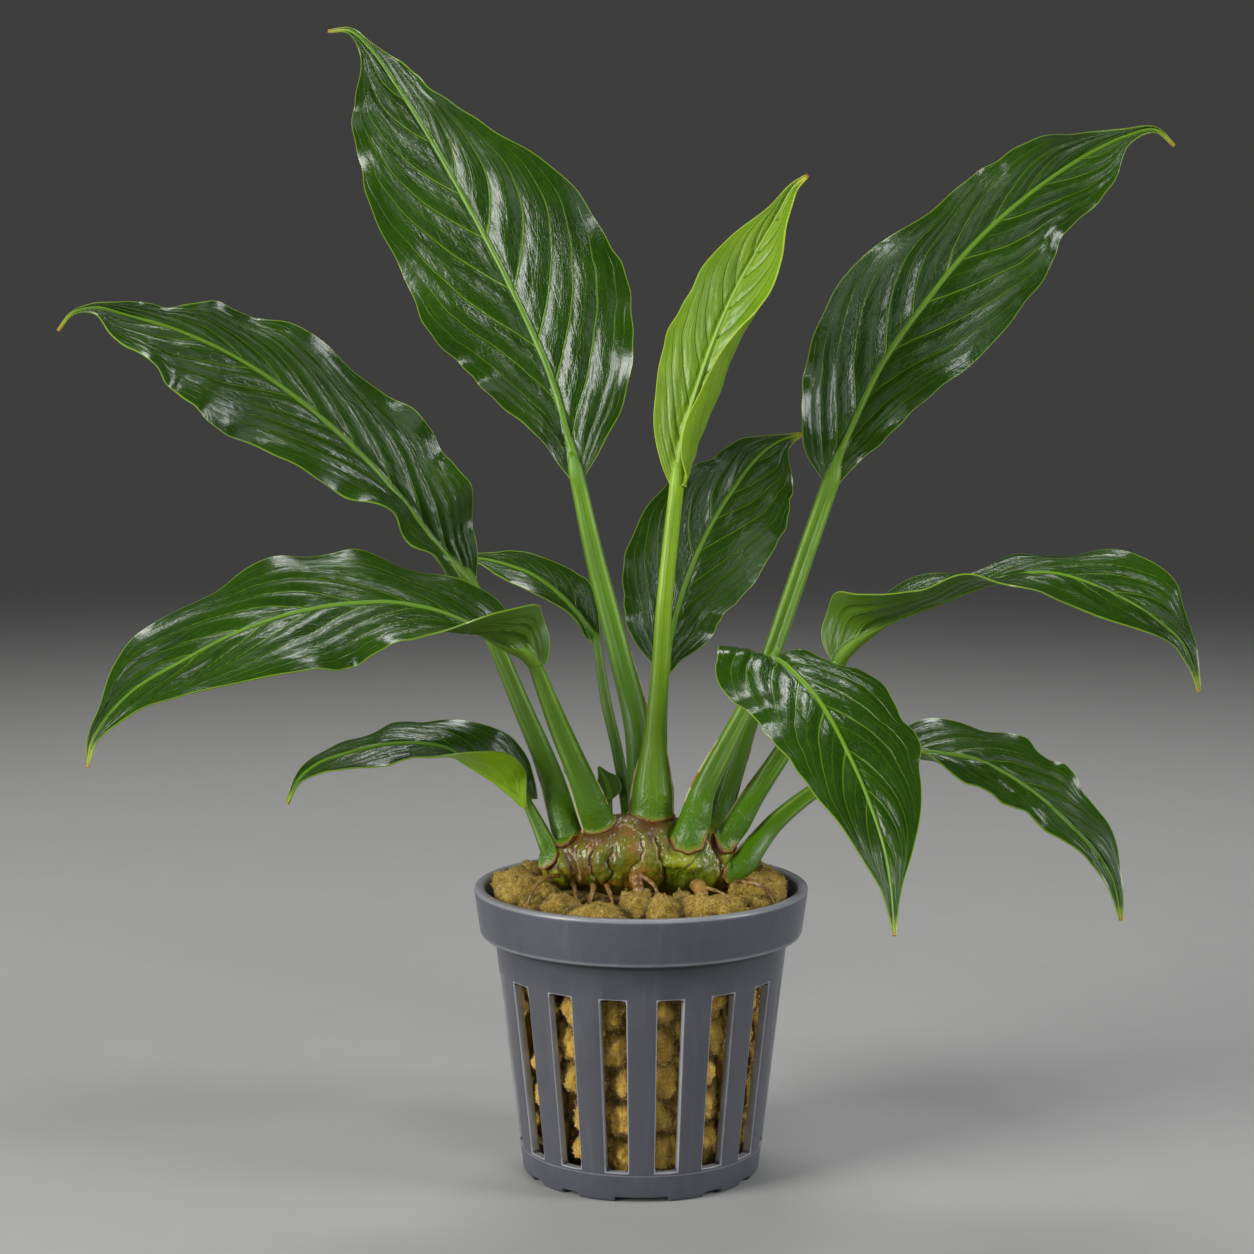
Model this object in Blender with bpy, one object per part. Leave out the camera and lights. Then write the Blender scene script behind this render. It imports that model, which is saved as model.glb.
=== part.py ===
# Potted anubias: a plant with a creeping stem on mineral wool in a slotted nursery pot
# The tables are in millimetres and degrees, and the objects in metres
# +Z is up, the front is -Y, and the origin is the centre of the pot's underside

import math

import bmesh
import bpy
import numpy as np
from mathutils import Vector, noise

mm = 0.001
gap = 0.3  # clearance between pieces that touch
bladeGap = 0.6  # from a stalk's end to its blade, whose ends aren't quite parallel

# Pot
rimRadius = 26.0
rimHeight = 45.2
lipWidth = 1.5
bandHeight = 38.0  # underside of the rim band
bandRadius = 25.1
neckRadius = 22.8  # body just below the band
neckHeight = 37.0
footRadius = 18.5
wall = 1.3
floorThickness = 1.6
slotCount = 16
slotAngle = 10.4
slotBottom = 4.8
slotTop = 32.1
slotCorner = 0.7
footLine = 4.2  # moulding line above the foot
notchHeight = 0.8
padRadius = 9.0  # middle of the floor, with no slots

# Wool
woolHeight = 45.0
woolGap = 0.5
lumpHeight = 6.2
lumpDepth = 1.5
woolColumns = 32

# Leaves
bladeEdge = 0.5  # thickness at the margin
bladeKeel = 1.5  # thickness at the midrib where the blade begins
bladeSteps = 11
stalkSides = 8
stalkDepth = 0.85  # front-to-back size of a stalk over its width

green = (0.030, 0.110, 0.012)
paleGreen = (0.230, 0.420, 0.030)
stalkGreen = (0.110, 0.270, 0.018)
stemBrown = (0.210, 0.190, 0.035)
rootTan = (0.300, 0.160, 0.060)
woolTan = (0.420, 0.270, 0.070)
potGrey = (0.160, 0.165, 0.200)


def clearScene():
    for thing in list(bpy.data.objects):
        bpy.data.objects.remove(thing, do_unlink=True)


def makeMaterial(name, colour, roughness):
    material = bpy.data.materials.new(name)
    material.use_nodes = True
    shader = material.node_tree.nodes["Principled BSDF"]
    shader.inputs["Base Color"].default_value = (*colour, 1.0)
    shader.inputs["Roughness"].default_value = roughness
    shader.inputs["Metallic"].default_value = 0.0
    return material


def makeObject(name, points, faces, colour, roughness):
    # Points arrive in millimetres
    mesh = bpy.data.meshes.new(name)
    mesh.from_pydata([Vector(p) * mm for p in points], [], faces)
    mesh.validate()
    thing = bpy.data.objects.new(name, mesh)
    bpy.context.scene.collection.objects.link(thing)
    work = bmesh.new()
    work.from_mesh(mesh)
    bmesh.ops.recalc_face_normals(work, faces=work.faces)
    if work.calc_volume(signed=True) < 0:
        bmesh.ops.reverse_faces(work, faces=work.faces)
    work.to_mesh(mesh)
    work.free()
    mesh.shade_smooth()
    mesh.set_sharp_from_angle(angle=math.radians(40))
    mesh.materials.append(makeMaterial(name, colour, roughness))
    return thing


def largestBody(mesh):
    # Drops the loose slivers that a cut can leave
    work = bmesh.new()
    work.from_mesh(mesh)
    left = set(work.verts)
    bodies = []
    while left:
        body = [left.pop()]
        for vert in body:
            for edge in vert.link_edges:
                other = edge.other_vert(vert)
                if other in left:
                    left.remove(other)
                    body.append(other)
        bodies.append(body)
    bodies.sort(key=len)
    for body in bodies[:-1]:
        bmesh.ops.delete(work, geom=body, context="VERTS")
    work.to_mesh(mesh)
    work.free()


def cutBy(thing, cutters):
    # Subtracts the cutters for good and removes them
    for cutter in cutters:
        cutter.hide_render = True
        cutter.display_type = "WIRE"
        boolean = thing.modifiers.new("Cut", "BOOLEAN")
        boolean.operation = "DIFFERENCE"
        boolean.solver = "EXACT"
        boolean.object = cutter
    bpy.context.view_layer.update()
    graph = bpy.context.evaluated_depsgraph_get()
    mesh = bpy.data.meshes.new_from_object(thing.evaluated_get(graph))
    thing.modifiers.clear()
    thing.data = mesh
    largestBody(mesh)
    for cutter in cutters:
        bpy.data.objects.remove(cutter, do_unlink=True)


def boxesTouch(one, other, margin):
    # Rows start with x, y, z and end with a radius or reach
    one = np.array(one, dtype=float)
    other = np.array(other, dtype=float)
    lowOne = (one[:, :3] - one[:, 3:4]).min(axis=0)
    highOne = (one[:, :3] + one[:, 3:4]).max(axis=0)
    lowOther = (other[:, :3] - other[:, 3:4]).min(axis=0)
    highOther = (other[:, :3] + other[:, 3:4]).max(axis=0)
    return bool(np.all(lowOne - margin < highOther) and np.all(lowOther - margin < highOne))


def smoothRows(rows, steps, crowd=0.0):
    # Rows read from a smooth curve through the given rows, crowded toward both ends if asked
    rows = np.array(rows, dtype=float)
    lengths = np.linalg.norm(np.diff(rows[:, :3], axis=0), axis=1)
    at = np.concatenate([[0.0], np.cumsum(lengths)])
    slopes = np.diff(rows, axis=0) / lengths[:, None]
    tangents = np.empty_like(rows)
    tangents[0] = slopes[0]
    tangents[-1] = slopes[-1]
    before = lengths[:-1, None]
    after = lengths[1:, None]
    tangents[1:-1] = (slopes[:-1] * after + slopes[1:] * before) / (before + after)
    result = []
    shares = np.linspace(0.0, 1.0, steps + 1)
    for place in at[-1] * (shares - crowd * np.sin(2 * math.pi * shares) / (2 * math.pi)):
        span = min(int(np.searchsorted(at, place, side="right")) - 1, len(lengths) - 1)
        length = lengths[span]
        t = (place - at[span]) / length
        start = rows[span] * (2 * t ** 3 - 3 * t ** 2 + 1)
        start += tangents[span] * length * (t ** 3 - 2 * t ** 2 + t)
        end = rows[span + 1] * (3 * t ** 2 - 2 * t ** 3)
        end += tangents[span + 1] * length * (t ** 3 - t ** 2)
        result.append(start + end)
    return np.array(result)


def framesAlong(points, facing):
    # Direction, face normal and rightward direction at each point
    ahead = np.gradient(points, axis=0)
    ahead /= np.linalg.norm(ahead, axis=1)[:, None]
    normal = np.array(facing, dtype=float) - ahead * (ahead @ np.array(facing, dtype=float))[:, None]
    normal /= np.linalg.norm(normal, axis=1)[:, None]
    return ahead, normal, np.cross(ahead, normal)


def sweep(rows, steps, sides, depth=stalkDepth, grow=0.0, facing=(0, -1, 0.2)):
    # A closed tube through rows of x, y, z, radius
    rows = smoothRows(rows, steps)
    ahead, normal, right = framesAlong(rows[:, :3], facing)
    rows[0, :3] -= ahead[0] * grow
    rows[-1, :3] += ahead[-1] * grow
    points = []
    faces = []
    for row, toFront, toRight in zip(rows, normal, right):
        for side in range(sides):
            angle = 2 * math.pi * (side + 0.5) / sides
            across = toRight * math.cos(angle) * (row[3] + grow)
            deep = toFront * math.sin(angle) * (row[3] * depth + grow)
            points.append(row[:3] + across + deep)
    for ring in range(steps):
        for side in range(sides):
            a = ring * sides + side
            b = ring * sides + (side + 1) % sides
            faces.append((a, b, b + sides, a + sides))
    faces.append(tuple(range(sides))[::-1])
    faces.append(tuple(range(steps * sides, (steps + 1) * sides)))
    return points, faces


def halfBlade(side, width, lean, curl, normal, right, share):
    # A half blade leaves the midrib at the lean angle and curls over its width
    width = width * share
    lean = math.radians(lean)
    curl = math.radians(curl) * share
    if abs(curl) < 0.001:
        return width * (side * right * math.cos(lean) + normal * math.sin(lean))
    outward = (math.sin(lean + curl) - math.sin(lean)) / curl
    upward = (math.cos(lean) - math.cos(lean + curl)) / curl
    return width * (side * right * outward + normal * upward)


def bladeGrid(rows, facing, lobes, steps, cells):
    # Points of the upper face: steps + 1 lines of 2 * cells + 1 points
    rows = smoothRows(rows, steps, crowd=0.6)
    ahead, normal, right = framesAlong(rows[:, :3], facing)
    rows[0, :3] += ahead[0] * bladeGap
    grid = np.empty((steps + 1, 2 * cells + 1, 3))
    for i, row in enumerate(rows):
        left = (max(row[3], 0.15), row[4], row[5])
        other = (max(row[6], 0.15), row[7], row[8])
        back = ahead[i] * max(0.0, 1 - i / steps / lobeShare) ** 2
        for j in range(cells + 1):
            share = j / cells
            one = halfBlade(-1, *left, normal[i], right[i], share)
            two = halfBlade(1, *other, normal[i], right[i], share)
            grid[i, cells - j] = row[:3] + one - back * lobes[0] * share ** 2
            grid[i, cells + j] = row[:3] + two - back * lobes[1] * share ** 2
    return grid, ahead


def blade(rows, facing, lobes, steps, cells):
    # A closed thin solid with a keel under the midrib
    top, ahead = bladeGrid(rows, facing, lobes, steps, cells)
    along = np.gradient(top, axis=0)
    across = np.gradient(top, axis=1)
    outward = np.cross(across, along)
    outward -= ahead[:, None, :] * np.sum(outward * ahead[:, None, :], axis=2)[:, :, None]
    outward /= np.linalg.norm(outward, axis=2)[:, :, None]
    width = 2 * cells + 1
    share = np.abs(np.arange(width) - cells) / cells
    keel = bladeKeel + (0.6 - bladeKeel) * np.linspace(0, 1, steps + 1)
    thickness = bladeEdge + (keel - bladeEdge)[:, None] * (1 - share)[None, :] ** 3
    under = top - outward * thickness[:, :, None]
    points = np.concatenate([top.reshape(-1, 3), under.reshape(-1, 3)])
    count = (steps + 1) * width
    faces = []
    for i in range(steps):
        for j in range(width - 1):
            a = i * width + j
            faces.append((a, a + 1, a + width + 1, a + width))
            faces.append((a + count, a + width + count, a + width + 1 + count, a + 1 + count))
    rim = [(0, j) for j in range(width)] + [(i, width - 1) for i in range(1, steps + 1)]
    rim += [(steps, j) for j in range(width - 2, -1, -1)] + [(i, 0) for i in range(steps - 1, 0, -1)]
    rim = [i * width + j for i, j in rim]
    for a, b in zip(rim, rim[1:] + rim[:1]):
        faces.append((b, a, a + count, b + count))
    return points, faces


def bodyRadius(height):
    # Outer radius of the pot's tapered body
    return footRadius + (neckRadius - footRadius) * height / neckHeight


# Pot

def makePot():
    # Rings run up the outside, over the lip and down the inside, three columns to a slot pitch
    pitch = 360 / slotCount
    columns = []
    for index in range(slotCount):
        middle = (index + 0.5) * pitch
        columns += [middle - slotAngle / 2, middle + slotAngle / 2, middle + pitch / 2]
    outer = [
        (footRadius - 0.7, 0), (bodyRadius(0.6), 0.6), (bodyRadius(footLine), footLine),
        (bodyRadius(slotBottom) + 0.15, slotBottom), (bodyRadius(slotTop), slotTop),
        (neckRadius, neckHeight), (bandRadius - 0.4, bandHeight - 0.2), (bandRadius, bandHeight + 0.3),
        (rimRadius, rimHeight - 0.5), (rimRadius - 0.4, rimHeight), (rimRadius - lipWidth, rimHeight),
    ]
    inner = [
        (rimRadius - lipWidth - 0.3, rimHeight - 0.6), (bandRadius - wall, bandHeight + 1.5),
        (neckRadius - wall, neckHeight - 0.5), (bodyRadius(slotTop) - wall, slotTop),
        (bodyRadius(slotBottom) - wall, slotBottom),
        (bodyRadius(floorThickness) - wall - 0.6, floorThickness),
    ]
    rings = outer + inner
    points = []
    for radius, height in rings:
        for angle in columns:
            turn = math.radians(angle - 90)
            points.append((radius * math.cos(turn), radius * math.sin(turn), height))
    count = len(columns)
    outerRow = 3
    innerRow = len(outer) + 3
    faces = []
    for ring in range(len(rings) - 1):
        for column in range(count):
            if ring in (outerRow, innerRow) and column % 3 == 0:
                continue
            a = ring * count + column
            b = ring * count + (column + 1) % count
            faces.append((a, b, b + count, a + count))
    for column in range(0, count, 3):
        low = outerRow * count + column
        high = low + count
        highIn = innerRow * count + column
        lowIn = highIn + count
        faces.append((low, low + 1, lowIn + 1, lowIn))
        faces.append((high, highIn, highIn + 1, high + 1))
        faces.append((low, lowIn, highIn, high))
        faces.append((low + 1, high + 1, highIn + 1, lowIn + 1))
    faces.append(tuple(range(count)))
    faces.append(tuple(range((len(rings) - 1) * count, len(rings) * count)))
    pot = makeObject("net_pot", points, faces, potGrey, 0.4)
    roundSlots(pot.data)
    cutBy(pot, [footNotch(*notch) for notch in footNotches()] + [floorSlot(k) for k in range(8)])
    return pot


def roundSlots(mesh):
    # The slots' corner edges are the short radial ones between the outer and the inner wall
    work = bmesh.new()
    work.from_mesh(mesh)
    corners = []
    for edge in work.edges:
        a, b = (vert.co / mm for vert in edge.verts)
        level = abs(a.z - b.z) < 0.01 and min(abs(a.z - slotBottom), abs(a.z - slotTop)) < 0.01
        radial = abs(a.xy.length - b.xy.length) > wall * 0.9
        if level and radial:
            corners.append(edge)
    bmesh.ops.bevel(work, geom=corners, offset=slotCorner * mm, segments=1, affect="EDGES")
    work.to_mesh(mesh)
    work.free()


def footNotches():
    # Angle from the front, and width, of each drain notch in the foot
    notches = [(0, 8.0), (180, 8.0)]
    for angle in (36, 60, 100, 140):
        notches += [(angle, 3.0), (-angle, 3.0)]
    return notches


def turnedBox(angle, near, far, width, low, high):
    # A box that points outward from the pot's axis
    turn = math.radians(angle - 90)
    out = Vector((math.cos(turn), math.sin(turn), 0))
    side = Vector((-math.sin(turn), math.cos(turn), 0))
    points = []
    for height in (low, high):
        for reach, half in ((near, -1), (far, -1), (far, 1), (near, 1)):
            points.append(out * reach + side * half * width / 2 + Vector((0, 0, height)))
    faces = [(3, 2, 1, 0), (4, 5, 6, 7), (0, 1, 5, 4), (1, 2, 6, 5), (2, 3, 7, 6), (3, 0, 4, 7)]
    return makeObject("cutter", points, faces, potGrey, 0.5)


def footNotch(angle, width):
    return turnedBox(angle, footRadius - 2.2, footRadius + 2, width, -1, notchHeight)


def floorSlot(index):
    return turnedBox(index * 45 + 22.5, padRadius + 1, footRadius - 3.5, 3.0, -1, floorThickness + 1)


# Wool

def woolTop(x, y):
    # Height of the lumpy surface, higher at the two sides
    lumps = noise.noise(Vector((x * 0.16, y * 0.16, 4.0))) * 2.6
    return woolHeight - 0.4 + lumps + 1.6 * (abs(x) / 22) ** 2


def makeWool(cutters):
    lumpRows = 7
    rings = []
    for row in range(2 * lumpRows):
        height = floorThickness + gap + 0.4 + row * lumpHeight / 2
        rings.append((height, row % 2))
    points = []
    for height, crest in rings:
        for column in range(woolColumns):
            angle = 2 * math.pi * (column + 0.5) / woolColumns
            shift = noise.noise(Vector((column * 1.7, 0.5, 0.5))) * 1.6
            shrink = 0.0 if crest and column % 2 == 0 else lumpDepth
            shrink += abs(noise.noise(Vector((column * 0.9, height, 2.5)))) * 0.8
            radius = bodyRadius(height) - wall - woolGap - shrink
            if height < slotBottom:
                radius -= 0.8
            middle = 0 < height - floorThickness - gap - 0.5
            points.append((radius * math.cos(angle), radius * math.sin(angle), height + shift * middle))
    for radius in (19.5, 13.5, 7.0):
        for column in range(woolColumns):
            angle = 2 * math.pi * (column + 0.5) / woolColumns
            x = radius * math.cos(angle)
            y = radius * math.sin(angle)
            points.append((x, y, woolTop(x, y)))
    points.append((0, 0, woolTop(0, 0)))
    faces = [tuple(range(woolColumns))[::-1]]
    ringCount = len(rings) + 3
    for ring in range(ringCount - 1):
        for column in range(woolColumns):
            a = ring * woolColumns + column
            b = ring * woolColumns + (column + 1) % woolColumns
            faces.append((a, b, b + woolColumns, a + woolColumns))
    last = (ringCount - 1) * woolColumns
    for column in range(woolColumns):
        faces.append((last + column, last + (column + 1) % woolColumns, len(points) - 1))
    wool = makeObject("rock_wool", points, faces, woolTan, 0.95)
    cutBy(wool, cutters)
    return wool


# Creeping stem: x, y, z and radius

rhizomeRows = [
    (-15.2, -3, 47.6, 1.4), (-13.8, -3, 48.2, 3.2), (-11, -3, 49.2, 4.6), (-8.6, -3, 49.8, 5.0),
    (-7, -3.2, 50.1, 5.7), (-2, -3.2, 50.6, 6.2), (2, -3, 50.6, 6.3), (4.5, -3, 50.3, 5.7),
    (7.5, -3.2, 49.9, 5.9), (11, -3, 49.2, 5.1), (13.6, -3, 48.5, 3.9), (15, -3, 48.0, 1.6),
]
rhizomeSteps = 16
rhizomeSides = 14

# Roots: x, y, z and radius from the stem to the tip

rootTables = {
    "root_far_left": [
        (-12.5, -6, 47.8, 0.8), (-14.6, -11.5, 48.4, 0.6), (-16.2, -14, 47.6, 0.5),
        (-17.2, -15.2, 45.2, 0.35),
    ],
    "root_left": [(-13.2, -5, 46.6, 0.7), (-16, -9.5, 47.0, 0.5), (-18.4, -11.5, 44.8, 0.35)],
    "root_left_short": [(-10.6, -6, 47.0, 0.8), (-10.2, -10.6, 46.8, 0.6), (-9.8, -12.8, 44.6, 0.45)],
    "root_ring": [(-7.4, -7, 47.2, 0.8), (-7.4, -11, 47.0, 0.6), (-8.4, -13.6, 44.4, 0.45)],
    "root_mid": [(-5.4, -7, 47.8, 0.7), (-4.9, -11.4, 47.3, 0.55), (-4.1, -14.2, 44.6, 0.4)],
    "root_centre": [(-0.6, -7, 49.4, 1.7), (-0.5, -11, 48.4, 1.1), (-0.2, -13.6, 45.0, 0.8)],
    "root_thick": [(8.4, -6, 49.2, 1.5), (9.0, -10.4, 47.8, 1.2), (9.7, -13.6, 44.8, 0.8)],
    "root_right": [
        (13.0, -5, 46.6, 0.8), (15.4, -9.2, 47.4, 0.55), (18.4, -11.6, 47.0, 0.5), (20.2, -12.2, 44.6, 0.35),
    ],
    "root_right_thin": [(13.8, -3, 46.6, 0.7), (17.0, -6.0, 47.5, 0.45), (19.6, -8.2, 45.0, 0.35)],
}
rootSteps = 5
rootSides = 6

# Stalks: x, y, z and half width from the stem to the blade

stalkTables = {
    "young": [
        (1.7, -3.2, 53.5, 3.7), (1.7, -3.3, 57.5, 3.4), (1.7, -3, 62, 2.8), (2.0, -2.8, 68, 1.85),
        (2.7, -2.4, 76, 1.5), (3.6, -1.9, 90, 1.25), (5.4, -1.5, 107.5, 1.15),
    ],
    "front_left": [
        (-4.9, -4.4, 52.4, 2.8), (-6.3, -5.2, 55.8, 2.55), (-9.1, -7.5, 63, 2.0),
        (-12.2, -10, 70.8, 1.65), (-16.0, -13, 81.3, 1.1),
    ],
    "front_right": [
        (5.4, -3.6, 49.8, 2.7), (7.0, -4.2, 53.6, 2.5), (9.2, -5, 60, 1.95), (13.1, -6.4, 68.3, 1.55),
        (18.8, -8.9, 79.6, 1.1),
    ],
    "right_arch": [
        (10.8, -3, 49.6, 2.4), (13.4, -2.9, 53.2, 2.1), (17.6, -2.5, 59.8, 1.65),
        (23.2, -1.8, 68.4, 1.45), (30.4, -1, 80, 1.2),
    ],
    "upper_left": [
        (-9.8, -2, 48.8, 2.5), (-11.2, -1.2, 53.6, 2.25), (-13.9, 0, 61.9, 1.85), (-19.0, 2, 73.8, 1.5),
        (-26.5, 5, 91.5, 1.15),
    ],
    "tall_left": [
        (1.2, 0.2, 53.5, 2.9), (0.5, 1.6, 59.5, 2.6), (-0.5, 4.4, 68.6, 2.1), (-3.5, 7, 81, 1.8),
        (-7.0, 8.3, 94.5, 1.55), (-10, 9, 108, 1.2),
    ],
    "tall_right": [
        (10.8, -0.4, 49.6, 2.3), (12.0, 2.4, 54.4, 1.95), (15.9, 6, 66.6, 1.6), (21.8, 9.2, 83.6, 1.5),
        (29.9, 12, 107, 1.4),
    ],
    "low_right": [
        (12.9, -3.6, 46.6, 2.4), (16.0, -3.1, 50.2, 1.9), (22.1, -1.5, 56.4, 1.4),
        (28.4, 0, 60.8, 1.15), (35, 1, 63.9, 0.95),
    ],
    "low_left": [(-12.4, -3.8, 47.4, 1.7), (-14.4, -4, 52.4, 1.3), (-17.4, -4, 58.4, 0.8)],
    "small_back": [
        (-1.4, 1.2, 51.4, 1.3), (-2.2, 5, 56.2, 1.0), (-3.7, 8.2, 64.6, 0.9), (-5.6, 11, 72.6, 0.85),
        (-7.0, 14, 81.4, 0.65),
    ],
    "back_right": [(3.4, 0.6, 51.0, 1.4), (3.3, 6, 58.8, 1.15), (3.2, 11, 67.8, 1.0), (3.7, 15, 76, 0.8)],
    "base_shoot": [(-5.2, 0.4, 51.4, 1.0), (-5.2, 2.8, 54.8, 0.8), (-5.0, 4.2, 57.4, 0.5)],
}
stalkSteps = {"young": 9, "tall_left": 8, "tall_right": 8, "base_shoot": 3, "low_left": 4}
usualStalkSteps = 6

# Blades: x, y, z of the midrib, then width, lean and curl of the left and of the right half

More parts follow.
